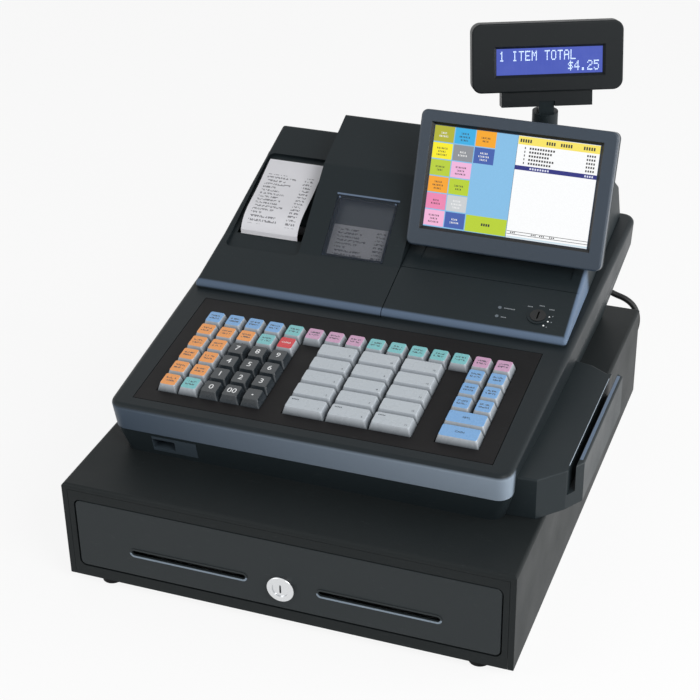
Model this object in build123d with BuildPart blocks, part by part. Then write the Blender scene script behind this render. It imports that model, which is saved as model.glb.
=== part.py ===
from build123d import *
import math
import os

# Touch-screen ticket register on its cash drawer, in millimetres.
# +X is the cashier's right, +Y points to the back and +Z is up. The origin is under the middle
# of the whole footprint, on the surface that the rubber feet stand on.
os.makedirs("parts", exist_ok=True)

# ---------------------------------------------------------------- cabinet of the cash drawer
drawer_w = 394.0  # cabinet, side to side
drawer_d = 450.0  # cabinet, front to back
cabinet_h = 92.5
sheet = 1.2  # steel sheet
edge_r = 3.0  # rounded top edges of the cover
flange = 5.0  # narrow front flange of the cover
foot_h = 9.0
foot_r = 10.0
foot_taper = 1.0
foot_side = 32.0  # foot's middle from the cabinet's side
foot_end = 15.0  # foot's middle from the cabinet's front or back
fit = 0.3  # gap between pieces that slide or drop into each other
frame_t = 1.5
frame_depth = 12.0

# ---------------------------------------------------------------- drawer
panel_side = 11.3  # panel's side from the cabinet's side
panel_w = drawer_w - 2 * panel_side
panel_h = 66.0
panel_low = 11.6  # panel's lower edge above the cabinet's lower edge
panel_gap = 1.2
panel_r = 5.0
panel_t = 2.0
panel_edge_r = 1.0
panel_depth = 11.0
slot_w = 104.0
slot_h = 5.2
slot_mid = 84.0  # media slot's middle from the drawer's middle
slot_up = 35.4  # media slot's middle above the cabinet's lower edge
lip_t = 1.6  # pressed lip round each media slot
lip_proud = 0.6
lock_up = 33.3
lock_proud = 4.0
lock_r = 12.0
barrel_r = 9.5
barrel_l = 24.0
cylinder_r = 7.0
key_slot_l = 8.0
key_slot_w = 1.6
shaft_gap = 0.05  # radial clearance of shafts in their bores
cam_l = 14.0
cam_w = 6.0
cam_t = 2.0
tray_side = 9.7  # tray's side from the panel's side
tray_w = panel_w - 2 * tray_side
tray_t = 1.0
tray_back = 430.0
tray_h = 58.0
tray_lift = 1.5  # tray's floor above the panel's lower edge
bar_w = 7.2  # slide bar at the tray's side
bar_h = 10.0
bar_up = 30.0  # slide bar's lower edge above the panel's lower edge
bar_start = 20.0
runner_t = 1.5
runner_end = 440.0
spacer_h = 4.0
ledge_w = 8.0
ledge_t = 2.0

# ---------------------------------------------------------------- till insert
till_lift = 12.0  # till's floor above the tray's floor
till_front = 34.0
till_h = 45.0
till_wall = 2.5
bays = 5
bill_d = 184.0
coin_d = 106.0
coin_floor_r = 34.0  # scooped front of each coin cup
clip_w = 24.0
clip_l = 98.0
clip_t = 2.0
clip_drop = 19.0  # degrees below level at rest
clip_pin_r = 1.5
clip_hub_r = 3.0
clip_up = 38.0  # clip's pin above the till's floor
clip_back = 7.0  # clip's pin in front of the till's back wall
ear_t = 3.0
ear_r = 4.0

# ---------------------------------------------------------------- register housing
body_shift = -2.3  # register's middle from the drawer's middle
foot_half = 168.0  # half width of the housing where it stands on the cabinet
foot_front = 66.0
foot_back = 434.0
deck_slope = 6.4  # degrees
deck_front = 70.0  # front edge of the keyboard plate
deck_rise = 50.5  # height of that edge above the cabinet
rim_half_front = 176.5
rim_half_back = 187.0
rim_front = -13.4  # along the deck from the keyboard plate's front edge
rim_back = 397.5
rim_r = 4.5
band_h = 26.0  # front band, down to the seam
seam_in = 1.5  # seam line inside the rim line
seam_gap = 0.3
corner_r = 12.0
wall = 3.0
plate_w = 317.0
plate_d = 154.0
plate_r = 5.0
plate_gap = 0.6
bed_drop = 5.5  # floor of the key wells below the plate's face
bed_t = 2.5
ledge_in = 4.0
ledge_down = 2.5

# ---------------------------------------------------------------- keys
pitch = 19.05
columns = 15
rows = 6
key_foot = 18.2
key_top = 13.2
key_top_d = 14.4
key_top_shift = 0.6  # top face behind the foot's middle
key_low = 1.5  # skirt below the plate's face
key_up = 6.5  # top face above the plate
key_foot_r = 1.2
key_top_r = 1.8
key_edge_r = 0.5
key_travel = 3.5
stem_r = 2.8
stem_end = 10.5
stem_gap = 0.4
well_gap = 0.5
key_front = 15.0  # first key's foot from the plate's front edge
key_side = -0.3  # keyboard's middle from the register's middle

# ---------------------------------------------------------------- front insert, rear sockets
insert_mid = -118.7
insert_w = 42.0
insert_h = 16.5
insert_up = 4.2  # lower edge above the cabinet
insert_depth = 14.0
card_w = 20.6
card_h = 10.0
card_side = -10.0
card_up = 3.2
card_depth = 12.0
knock_mid = 88.6
knock_w = 29.0
knock_h = 19.0
knock_line = 0.7
knock_corner = 4.0
rear_mid = -95.0
rear_w = 96.0
rear_low = 5.5
rear_h = 32.0
rear_in = 4.0  # sockets' plate in front of the housing's lower back edge
rear_t = 6.0
inlet_w = 28.0
inlet_h = 20.0
inlet_depth = 18.0
inlet_mid = -118.0
inlet_flange = 2.0
inlet_wall = 2.0
inlet_pin_l = 12.0
inlet_pin_w = 2.0
inlet_pin_h = 5.0
inlet_pin_pitch = 7.0
rocker_mid = -72.0
rocker_w = 14.0
rocker_h = 20.0
rocker_gap = 0.7  # round the rocker at its ends
rocker_proud = 2.0
rocker_pin_r = 1.6
rocker_turn = 9.0  # degrees to each side of level
port_mid = 140.0
port_w = 18.0
port_h = 14.0
port_low = 1.0
port_back = 441.0

# ---------------------------------------------------------------- hoods behind the keyboard
hood_front = 236.0
hood_half = 175.5  # half width at the hoods' foot
hood_lean = 6.2  # degrees that the outer sides lean inwards
hood_start = 177.0  # height of the hoods' front edge
hood_knee_y = 300.0
hood_knee_z = 197.3
cover_top_y = 439.0
cover_top_z = 252.3
hood_rear_z = 226.0
hood_back = 457.0
hood_low_gap = 0.6
hood_wall = 2.5
hood_r = 2.0
bend_r = 3.5
ridge_r = 5.0  # rounded ridge along the hoods' front edge
side_r = 3.0  # rounded edges of the hoods' leaning sides
seam_x = 6.3  # seam between the two hoods, from the register's middle
hood_gap = 0.8
step_x = -92.7  # left side of the raised middle
step_y = 289.0
step_z = 194.0
crest_y = 359.0
crest_z = 254.0
crest_r = 10.0
peak_y = 420.0
peak_z = 280.0
drop_y = 444.0
drop_z = 258.0
cheek_foot_y = 330.0
cheek_foot_z = 206.8
cheek_top_y = 390.5
cheek_top_z = 270.5
cheek_mid_y = 427.0
cheek_mid_z = 250.0
cheek_r = 9.0
throat_mid = -129.2
throat_w = 65.0
throat_front = 305.7
throat_back = 326.0
scoop_w = 73.0
scoop_front = 285.0
scoop_back = 402.0
scoop_depth = 3.0
scoop_r = 6.0
window_mid = -40.7
window_w = 60.0
window_l = 63.0
window_start = 1.5  # above the step, along the panel
window_t = 2.0
window_ledge = 3.0
window_gap = 0.2
hinge_up = 3.4  # cover's hinge pin above the deck
hinge_in = 2.0  # hinge pin in front of the cover's back
hinge_pin_r = 1.5
hinge_hub_r = 2.4
hinge_ear_r = 2.8
hinge_ear_t = 3.0
hinge_hub_l = 10.0
hinge_places = (-140.0, -25.0)

# ---------------------------------------------------------------- printer under the left hood
chassis_left = -164.0
chassis_right = -6.0
chassis_mid = -86.0  # cheek between the two rolls
chassis_front = 201.0  # along the deck
chassis_back = 374.0
chassis_low = 34.0  # below the deck
chassis_t = 2.0
chassis_lip = 5.0
cheek_front_up = 4.0
cheek_back_up = 34.0
cheek_back_s = 345.0
table_foot_s = 222.0
table_top_s = 280.0
table_top_up = 46.0
roll_r = 32.0
roll_w = 57.5
core_r = 6.0
core_gap = 0.06
roll_s = 328.0
roll_up = 3.0
head_s = 238.0
head_l = 44.0
head_up = 4.0
table_down = 9.0  # journal table below the window's face
table_t = 1.5
paper_t = 0.3
strip_l = 36.0
receipt_w = 57.0
receipt_foot_y = 306.0
receipt_foot_z = 189.0
receipt_bend_z = 200.5
receipt_mid_y = 342.0
receipt_mid_z = 222.5
receipt_top_y = 383.0
receipt_top_z = 240.0
receipt_lean = ((0.45, 1.0), (1.0, 0.38))  # its direction where it leaves and at its top

# ---------------------------------------------------------------- mode lock and lamps
mode_mid = 144.0
mode_y = 259.0
mode_r = 7.0
mode_ring_r = 9.5
mode_ring_t = 1.0
mode_proud = 1.6
mode_depth = 9.0
mode_slot_l = 9.0
mode_slot_w = 1.4
mode_slot_depth = 3.0
lamp_mid = 108.6
lamp_y = 257.0
lamp_pitch = 10.5
lamp_r = 1.6
lamp_proud = 0.4
recess_left = 21.0
recess_right = 161.0
recess_front = 306.0
recess_back = 322.0
recess_depth = 1.2
line_y = 292.0
line_w = 0.7
line_depth = 0.6

# ---------------------------------------------------------------- touch screen
screen_mid = 97.0
screen_y = 326.4
screen_z = 269.6
screen_tilt = 22.6
screen_w = 180.0
screen_h = 122.8
screen_r = 6.0
bezel_t = 10.0
bezel_face_t = 2.4
bezel_wall = 3.0
bezel_edge_r = 2.0
view_w = 157.8
view_h = 97.2
view_side = -0.6
view_up = 2.6
view_slope = 2.4
lcd_w = 166.0
lcd_h = 105.0
back_t = 2.0
back_w = 150.0
back_h = 70.0
back_up = 3.6
back_bulge = 12.0
back_taper = 12.0  # degrees
pivot_up = -24.6  # tilt pin from the screen's middle
pivot_in = 28.2  # tilt pin behind the screen's face
pivot_r = 2.0
pivot_hub_r = 3.8
lug_w = 14.0
lug_mid = 42.0
ear_w = 6.0
foot_plate_w = 124.0
foot_plate_l = 24.0
foot_plate_t = 3.0

# ---------------------------------------------------------------- customer display
pole_mid = 100.1
pole_y = 432.8
pole_r = 12.0
pole_boss_r = 17.0
pole_boss_top = 258.0
pole_spigot_r = 8.0
pole_spigot_l = 22.0
head_turn = 23.4  # degrees about the pole
head_tilt = 12.8
head_w = 139.0
head_h = 63.0
head_t = 20.0
head_r = 9.0
head_front_r = 1.5
head_back_r = 5.0
glass_w = 97.5
glass_h = 24.0
glass_t = 2.0
glass_in = 3.0
glass_side = 2.0
glass_up = -3.7
glass_bevel = 2.4
head_pin_z = 315.8
head_pin_up = -39.0  # tilt pin from the head's middle
head_pin_in = 11.0  # tilt pin behind the head's face
head_pin_r = 2.5
chin_w = 84.0
chin_h = 12.0
chin_t = 15.0
chin_r = 4.0
tongue_w = 14.0
tongue_r = 6.5
tongue_neck = 9.0

# ---------------------------------------------------------------- card reader
reader_in = 160.0  # inside the housing's wall, which trims it
reader_low = 0.4
reader_h = 37.5
reader_slot_x = 214.8
reader_slot_w = 5.0
reader_slot_depth = 24.0
reader_right = 222.3
reader_front_y = 77.0
reader_bend_x = 198.7
reader_bend_y = 85.0
reader_nose_x = 211.8
reader_nose_y = 99.0
reader_rail_y = 116.0
reader_back_y = 274.0
reader_tail_x = 192.4
reader_tail_y = 268.1
reader_heel_x = 208.3
reader_heel_y = 255.4
reader_rail_back = 258.0
reader_r = 5.0
reader_edge_r = 1.8

# ---------------------------------------------------------------- drawer's cable
cord_r = 3.0
plug_w = 12.0
plug_h = 9.0
plug_l = 9.0
boot_r = 4.0
boot_l = 5.0
cable_port_x = 142.7  # on the cabinet's back, from the cabinet's middle
cable_port_z = 41.0
# route between the two plugs: x and y from the register's middle and the drawer's face
cord_route = [
    (140.0, 466.5, 109.5),
    (145.6, 476.6, 106.6),
    (155.6, 482.6, 101.0),
    (167.3, 483.2, 95.6),
    (180.0, 482.4, 92.6),
    (189.4, 481.5, 85.0),
    (193.2, 479.0, 73.4),
    (192.0, 474.5, 61.2),
    (186.5, 468.5, 51.0),
    (178.0, 462.0, 45.5),
    (168.0, 457.0, 42.0),
]

# ---------------------------------------------------------------- places worked out from these
reader_overhang = reader_right + body_shift - drawer_w / 2
turn_cos = math.cos(math.radians(head_turn))
turn_sin = math.sin(math.radians(head_turn))
tilt_cos = math.cos(math.radians(head_tilt))
tilt_sin = math.sin(math.radians(head_tilt))
# furthest point back of the rounded display head, from the drawer's face
head_reach = (
    pole_y
    + turn_cos * (-head_pin_up * tilt_sin - head_pin_in * tilt_cos)
    + (head_w / 2 - head_r) * turn_sin
    + (head_h / 2 - head_r) * tilt_sin * turn_cos
    + (head_r - head_back_r) * math.hypot(turn_sin, tilt_sin * turn_cos)
    + (head_t - head_back_r) * tilt_cos * turn_cos
    + head_back_r
)
cab_x = -reader_overhang / 2
cab_y = (lock_proud - head_reach) / 2
body_x = cab_x + body_shift
cab_bottom = foot_h
cab_top = foot_h + cabinet_h
panel_z = cab_bottom + panel_low
deck_cos = math.cos(math.radians(deck_slope))
deck_sin = math.sin(math.radians(deck_slope))
deck_z = cab_top + deck_rise
along_z = (Align.CENTER, Align.CENTER, Align.MIN)
low_edge = (Align.CENTER, Align.MIN)
plate_t = bed_drop + bed_t


def front_plane(y):
    """Upright plane, y behind the drawer's face: sketch in (x from the middle, z)."""
    return Plane(origin=(cab_x, cab_y + y, 0), x_dir=(1, 0, 0), z_dir=(0, -1, 0))


def side_plane(x):
    """Plane at x from the register's middle: sketch in (y from the drawer's face, z)."""
    return Plane(origin=(body_x + x, cab_y, 0), x_dir=(0, 1, 0), z_dir=(1, 0, 0))


def body_plan(z):
    """Level plane: sketch in (x from the register's middle, y from the drawer's face)."""
    return Plane(origin=(body_x, cab_y, z), x_dir=(1, 0, 0), z_dir=(0, 0, 1))


def body_front(y):
    """Upright plane as front_plane, with x from the register's middle."""
    return Plane(origin=(body_x, cab_y + y, 0), x_dir=(1, 0, 0), z_dir=(0, -1, 0))


def tapered(front_half, back_half, front, back):
    """Corners of a plate that gets wider towards the back."""
    return [(-front_half, front), (front_half, front), (back_half, back), (-back_half, back)]


def deck_level(y, up=0.0):
    """Height of the deck's face, or up above it, at y behind the drawer's face."""
    return deck_z + (y - deck_front) * deck_sin / deck_cos + up / deck_cos


def save(piece, name):
    """Name a finished piece and write it."""
    piece.part.label = name
    export_step(piece.part, f"parts/{name}.step")


deck = Plane(
    origin=(body_x, cab_y + deck_front, deck_z),
    x_dir=(1, 0, 0),
    z_dir=(0, -deck_sin, deck_cos),
)

# ================================================================ cabinet
with BuildPart() as cabinet_cover:
    with BuildSketch(front_plane(0)):
        with Locations((0, cab_bottom)):
            Rectangle(drawer_w, cabinet_h, align=low_edge)
    extrude(amount=-drawer_d)
    top_edges = cabinet_cover.faces().sort_by(Axis.Z)[-1].edges()
    fillet(top_edges, edge_r)
    with BuildSketch(front_plane(sheet)):
        with Locations((0, cab_bottom)):
            Rectangle(drawer_w - 2 * sheet, cabinet_h - sheet, align=low_edge)
    extrude(amount=-(drawer_d - 2 * sheet), mode=Mode.SUBTRACT)
    with BuildSketch(front_plane(0)):
        with Locations((0, cab_bottom)):
            Rectangle(drawer_w - 2 * flange, cabinet_h - flange, align=low_edge)
    extrude(amount=-sheet, mode=Mode.SUBTRACT)
save(cabinet_cover, "cabinet_cover")

with BuildPart() as cabinet_floor:
    with BuildSketch(Plane(origin=(cab_x, cab_y, cab_bottom))):
        with Locations((0, frame_depth + fit)):
            Rectangle(
                drawer_w - 2 * (sheet + fit),
                drawer_d - frame_depth - sheet - 2 * fit,
                align=low_edge,
            )
    extrude(amount=sheet)
save(cabinet_floor, "cabinet_floor")

with BuildPart() as feet:
    foot_place = Plane(origin=(cab_x, cab_y + drawer_d / 2, 0))
    foot_span_x = drawer_w - 2 * foot_side
    foot_span_y = drawer_d - 2 * foot_end
    with Locations(foot_place):
        with GridLocations(foot_span_x, foot_span_y, 2, 2):
            Cone(foot_r - foot_taper, foot_r, foot_h, align=along_z)
save(feet, "feet")

frame_w = drawer_w - 2 * (flange + fit)
frame_h = cabinet_h - flange - fit
with BuildPart() as front_frame:
    with BuildSketch(front_plane(0)) as frame_face:
        with Locations((0, cab_bottom)):
            Rectangle(frame_w, frame_h, align=low_edge)
    extrude(amount=-frame_depth)
    with BuildSketch(front_plane(frame_t)) as frame_inside:
        with Locations((0, cab_bottom + frame_t)):
            Rectangle(frame_w - 2 * frame_t, frame_h - 2 * frame_t, align=low_edge)
        with Locations((0, panel_z + panel_h / 2)):
            RectangleRounded(
                panel_w + 2 * (panel_gap + frame_t),
                panel_h + 2 * (panel_gap + frame_t),
                panel_r + panel_gap + frame_t,
                mode=Mode.SUBTRACT,
            )
    extrude(amount=-frame_depth, mode=Mode.SUBTRACT)
    with BuildSketch(front_plane(0)) as frame_opening:
        with Locations((0, panel_z + panel_h / 2)):
            RectangleRounded(
                panel_w + 2 * panel_gap, panel_h + 2 * panel_gap, panel_r + panel_gap
            )
    extrude(amount=-frame_depth, mode=Mode.SUBTRACT)
save(front_frame, "front_frame")

# ---------------------------------------------------------------- runners
bar_z = panel_z + bar_up
bar_x = tray_w / 2 + bar_w
web_x = bar_x + fit
wall_x = drawer_w / 2 - sheet
with BuildPart() as drawer_runners:
    with BuildSketch(front_plane(frame_depth + fit)):
        for side in (-1, 1):
            with Locations((side * (tray_w / 2 + fit + web_x + runner_t) / 2, bar_z + bar_h / 2)):
                Rectangle(web_x + runner_t - tray_w / 2 - fit, bar_h + 2 * (fit + runner_t))
            with Locations((side * (tray_w / 2 + web_x) / 2, bar_z + bar_h / 2)):
                Rectangle(web_x - tray_w / 2, bar_h + 2 * fit, mode=Mode.SUBTRACT)
            with Locations((side * (web_x + runner_t + wall_x) / 2, bar_z + bar_h / 2)):
                Rectangle(wall_x - web_x - runner_t, spacer_h)
    extrude(amount=-(runner_end - frame_depth - fit))
save(drawer_runners, "drawer_runners")

# ================================================================ drawer
with BuildPart() as drawer_front:
    with BuildSketch(front_plane(0)):
        with Locations((0, panel_z + panel_h / 2)):
            RectangleRounded(panel_w, panel_h, panel_r)
    extrude(amount=-panel_depth)
    fillet(drawer_front.faces().sort_by(Axis.Y)[0].edges(), panel_edge_r)
    with BuildSketch(front_plane(panel_t)):
        with Locations((0, panel_z + panel_h / 2)):
            RectangleRounded(panel_w - 2 * panel_t, panel_h - 2 * panel_t, panel_r - panel_t)
    extrude(amount=-panel_depth, mode=Mode.SUBTRACT)
    with BuildSketch(front_plane(0)):
        with Locations((-slot_mid, cab_bottom + slot_up), (slot_mid, cab_bottom + slot_up)):
            SlotOverall(slot_w + 2 * lip_t, slot_h + 2 * lip_t)
    extrude(amount=lip_proud)
    with BuildSketch(front_plane(-lip_proud)):
        with Locations((-slot_mid, cab_bottom + slot_up), (slot_mid, cab_bottom + slot_up)):
            SlotOverall(slot_w, slot_h)
        with Locations((0, cab_bottom + lock_up)):
            Circle(barrel_r + shaft_gap)
    extrude(amount=-(panel_t + lip_proud), mode=Mode.SUBTRACT)
save(drawer_front, "drawer_front")

tray_z = panel_z + tray_lift
till_z = tray_z + tray_t + till_lift
with BuildPart() as drawer_tray:
    with BuildSketch(front_plane(panel_depth)):
        with Locations((0, tray_z)):
            Rectangle(tray_w, tray_h, align=low_edge)
    extrude(amount=-(tray_back - panel_depth))
    with BuildSketch(Plane(origin=(cab_x, cab_y, tray_z + tray_t))):
        with Locations((0, panel_depth + tray_t)):
            Rectangle(
                tray_w - 2 * tray_t, tray_back - panel_depth - 2 * tray_t, align=low_edge
            )
    extrude(amount=tray_h, mode=Mode.SUBTRACT)
    with BuildSketch(front_plane(bar_start)):
        for side in (-1, 1):
            with Locations((side * (tray_w + bar_w) / 2, bar_z)):
                Rectangle(bar_w, bar_h, align=low_edge)
    extrude(amount=-(tray_back - bar_start))
    with BuildSketch(front_plane(till_front)):
        for side in (-1, 1):
            with Locations((side * (tray_w / 2 - tray_t - ledge_w / 2), till_z - ledge_t)):
                Rectangle(ledge_w, ledge_t, align=low_edge)
    extrude(amount=-(bill_d + coin_d))
    with BuildSketch(front_plane(panel_depth)):
        with Locations((-slot_mid, cab_bottom + slot_up), (slot_mid, cab_bottom + slot_up)):
            SlotOverall(slot_w, slot_h)
        with Locations((0, cab_bottom + lock_up)):
            Circle(barrel_r + fit)
    extrude(amount=-tray_t, mode=Mode.SUBTRACT)
save(drawer_tray, "drawer_tray")

# ---------------------------------------------------------------- till insert with its clips
till_w = tray_w - 2 * (tray_t + fit)
till_d = bill_d + coin_d + 3 * till_wall
bay_w = (till_w - (bays + 1) * till_wall) / bays
bay_pitch = bay_w + till_wall
coin_y = till_front + till_wall
bill_y = coin_y + coin_d + till_wall
clip_y = till_front + till_d - till_wall - clip_back
clip_z = till_z + clip_up
hub_half = clip_w / 2
with BuildPart() as till_insert:
    with BuildSketch(Plane(origin=(cab_x, cab_y, till_z))):
        with Locations((0, till_front)):
            Rectangle(till_w, till_d, align=low_edge)
    extrude(amount=till_h)
    with BuildSketch(Plane(origin=(cab_x, cab_y, till_z + till_wall))):
        with Locations((0, coin_y + coin_d / 2)):
            with GridLocations(bay_pitch, 1, bays, 1):
                Rectangle(bay_w, coin_d)
        with Locations((0, bill_y + bill_d / 2)):
            with GridLocations(bay_pitch, 1, bays, 1):
                Rectangle(bay_w, bill_d)
    extrude(amount=till_h, mode=Mode.SUBTRACT)
    for n in range(bays):
        bay_x = cab_x + (n - (bays - 1) / 2) * bay_pitch
        scoop_plane = Plane(
            origin=(bay_x - bay_w / 2, cab_y, 0), x_dir=(0, 1, 0), z_dir=(1, 0, 0)
        )
        with BuildSketch(scoop_plane):
            with BuildLine():
                Line(
                    (coin_y, till_z + till_wall + coin_floor_r),
                    (coin_y, till_z + till_wall),
                )
                Line((coin_y, till_z + till_wall), (coin_y + coin_floor_r, till_z + till_wall))
                RadiusArc(
                    (coin_y + coin_floor_r, till_z + till_wall),
                    (coin_y, till_z + till_wall + coin_floor_r),
                    coin_floor_r,
                )
            make_face()
        extrude(amount=bay_w)
        for side in (-1, 1):
            ear_x = bay_x + side * (hub_half + fit + ear_t / 2)
            ear_plane = Plane(
                origin=(ear_x - ear_t / 2, cab_y, 0), x_dir=(0, 1, 0), z_dir=(1, 0, 0)
            )
            with BuildSketch(ear_plane):
                with Locations((clip_y, clip_z)):
                    Circle(ear_r)
                with Locations((clip_y + clip_back / 2, clip_z)):
                    Rectangle(clip_back, 2 * ear_r)
                with Locations((clip_y, clip_z)):
                    Circle(clip_pin_r + shaft_gap, mode=Mode.SUBTRACT)
            extrude(amount=ear_t)
save(till_insert, "till_insert")

drop_cos = math.cos(math.radians(clip_drop))
drop_sin = math.sin(math.radians(clip_drop))
for n in range(bays):
    clip_x = cab_x + (n - (bays - 1) / 2) * bay_pitch
    with BuildPart() as bill_clip:
        with BuildSketch(
            Plane(origin=(clip_x - hub_half, cab_y, 0), x_dir=(0, 1, 0), z_dir=(1, 0, 0))
        ):
            with BuildLine():
                tip = (clip_y - clip_l * drop_cos, clip_z - clip_l * drop_sin)
                Polyline(
                    (clip_y, clip_z),
                    tip,
                    (tip[0] - clip_t * drop_sin, tip[1] + clip_t * drop_cos),
                    (clip_y - clip_t * drop_sin, clip_z + clip_t * drop_cos),
                    close=True,
                )
            make_face()
            with Locations((clip_y, clip_z)):
                Circle(clip_hub_r)
        extrude(amount=clip_w)
        with BuildSketch(
            Plane(
                origin=(clip_x - hub_half - ear_t, cab_y, 0), x_dir=(0, 1, 0), z_dir=(1, 0, 0)
            )
        ):
            with Locations((clip_y, clip_z)):
                Circle(clip_pin_r)
        extrude(amount=clip_w + 2 * ear_t)
    save(bill_clip, f"bill_clip_{n + 1}")

# ---------------------------------------------------------------- drawer lock
lock_z = cab_bottom + lock_up
with BuildPart() as lock_bezel:
    with BuildSketch(front_plane(0)):
        with Locations((0, lock_z)):
            Circle(lock_r)
    extrude(amount=lock_proud)
    fillet(lock_bezel.edges().group_by(Axis.Y)[0], lock_proud / 4)
    with BuildSketch(front_plane(0)):
        with Locations((0, lock_z)):
            Circle(barrel_r)
    extrude(amount=-(barrel_l - cam_t))
    with BuildSketch(front_plane(-lock_proud)):
        with Locations((0, lock_z)):
            Circle(cylinder_r + shaft_gap)
    extrude(amount=-(barrel_l + lock_proud), mode=Mode.SUBTRACT)
save(lock_bezel, "lock_bezel")

with BuildPart() as lock_cylinder:
    with BuildSketch(front_plane(lock_proud / 4 - lock_proud)):
        with Locations((0, lock_z)):
            Circle(cylinder_r)
    extrude(amount=-(barrel_l - cam_t + fit + lock_proud * 3 / 4))
    with BuildSketch(front_plane(barrel_l - cam_t + fit)):
        with Locations((0, lock_z)):
            Circle(cylinder_r)
        with Locations((0, lock_z)):
            Rectangle(cam_w, cam_l, align=(Align.CENTER, Align.MIN))
    extrude(amount=-cam_t)
    with BuildSketch(front_plane(-lock_proud)):
        with Locations((0, lock_z)):
            SlotOverall(key_slot_l, key_slot_w, rotation=90)
    extrude(amount=-2 * lock_proud, mode=Mode.SUBTRACT)
save(lock_cylinder, "lock_cylinder")

# ================================================================ register housing
seam = deck.offset(-band_h)
seam_front = rim_front + seam_in
seam_back = rim_back - 2 * seam_in
seam_outline = tapered(
    rim_half_front - seam_in, rim_half_back - seam_in, seam_front, seam_back
)
seam_hollow = tapered(
    rim_half_front - seam_in - wall,
    rim_half_back - seam_in - wall,
    seam_front + wall,
    seam_back - wall,
)
with BuildPart() as lower_shape:
    with BuildSketch(body_plan(cab_top)) as low_outline:
        Polygon(*tapered(foot_half, foot_half, foot_front, foot_back), align=None)
        fillet(low_outline.vertices(), corner_r)
    with BuildSketch(seam.offset(-seam_gap)) as split_outline:
        Polygon(*seam_outline, align=None)
        fillet(split_outline.vertices(), corner_r)
    loft()

with BuildPart() as lower_core:
    with BuildSketch(body_plan(cab_top + wall)) as low_hollow:
        Polygon(
            *tapered(foot_half - wall, foot_half - wall, foot_front + wall, foot_back - wall),
            align=None,
        )
        fillet(low_hollow.vertices(), corner_r - wall)
    with BuildSketch(seam) as split_hollow:
        Polygon(*seam_hollow, align=None)
        fillet(split_hollow.vertices(), corner_r - wall)
    loft()

# solid backing of the card-slot insert, the rear sockets and the drawer's port
rear_y = foot_back - rear_in
with BuildPart() as backing:
    with BuildSketch(body_front(foot_front + insert_depth + 2 * wall)):
        with Locations((insert_mid, cab_top)):
            Rectangle(insert_w + 2 * wall, insert_up + insert_h + wall / 2, align=low_edge)
    extrude(amount=2 * (wall + insert_depth))
    with BuildSketch(body_front(rear_y - rear_t)):
        with Locations((rear_mid, cab_top)):
            Rectangle(rear_w + 2 * wall, rear_low + rear_h + wall, align=low_edge)
    extrude(amount=-(rear_t + rear_in + 2 * band_h))
    add(lower_shape.part, mode=Mode.INTERSECT)
    with BuildSketch(body_front(port_back)):
        with Locations((port_mid, cab_top + port_low)):
            Rectangle(port_w, port_h, align=low_edge)
    extrude(amount=port_back - foot_back + 3 * wall)

socket_z = cab_top + rear_low + rear_h / 2
rocker_y = rear_y - rear_t / 2
front_run = seam_front * deck_cos + band_h * deck_sin + deck_front - foot_front
front_rise = deck_rise + seam_front * deck_sin - band_h * deck_cos
front_slope = Plane(
    origin=(body_x, cab_y + foot_front, cab_top),
    x_dir=(1, 0, 0),
    z_dir=(0, -front_rise, front_run),
)
with BuildPart() as base_housing:
    add(lower_shape.part)
    add(lower_core.part, mode=Mode.SUBTRACT)
    add(backing.part)
    with BuildSketch(body_front(foot_front - insert_depth)):
        with Locations((insert_mid, cab_top + insert_up)):
            Rectangle(insert_w, insert_h, align=low_edge)
    extrude(amount=-2 * insert_depth, mode=Mode.SUBTRACT)
    with BuildSketch(body_front(rear_y)):
        with Locations((rear_mid, cab_top + rear_low)):
            Rectangle(rear_w, rear_h, align=low_edge)
    extrude(amount=-(rear_in + 2 * band_h), mode=Mode.SUBTRACT)
    with BuildSketch(body_front(rear_y)):
        with Locations((inlet_mid, socket_z)):
            Rectangle(inlet_w, inlet_h)
        with Locations((rocker_mid, socket_z)):
            Rectangle(rocker_w + 2 * fit, rocker_h + 2 * rocker_gap)
    extrude(amount=rear_t, mode=Mode.SUBTRACT)
    with BuildSketch(side_plane(rocker_mid - rocker_w / 2 - fit - wall)):
        with Locations((rocker_y, socket_z)):
            Circle(rocker_pin_r + shaft_gap)
    extrude(amount=rocker_w + 2 * (fit + wall), mode=Mode.SUBTRACT)
    with BuildSketch(front_slope):
        with Locations((knock_mid, -2 * knock_line)):
            Rectangle(knock_w, knock_h + 2 * knock_line, align=low_edge)
            Rectangle(
                knock_w - 2 * knock_line,
                knock_h + knock_line,
                align=low_edge,
                mode=Mode.SUBTRACT,
            )
    extrude(amount=-knock_line, mode=Mode.SUBTRACT)
save(base_housing, "base_housing")

# ---------------------------------------------------------------- upper housing
opening_left = chassis_left - chassis_t / 2
opening_right = chassis_right + chassis_t / 2
opening_front = chassis_front - chassis_t / 2
opening_back = chassis_back + chassis_t
hinge_y = hood_back - hinge_in
hinge_z = deck_level(hinge_y) + hinge_up
with BuildPart() as upper_shape:
    with BuildSketch(seam) as band_outline:
        Polygon(*seam_outline, align=None)
        fillet(band_outline.vertices(), corner_r)
    with BuildSketch(deck) as rim_outline:
        Polygon(*tapered(rim_half_front, rim_half_back, rim_front, rim_back), align=None)
        fillet(rim_outline.vertices(), corner_r)
    loft()
    deck_face = upper_shape.faces().sort_by(SortBy.AREA)[-1]
    fillet(deck_face.edges(), rim_r)

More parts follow.
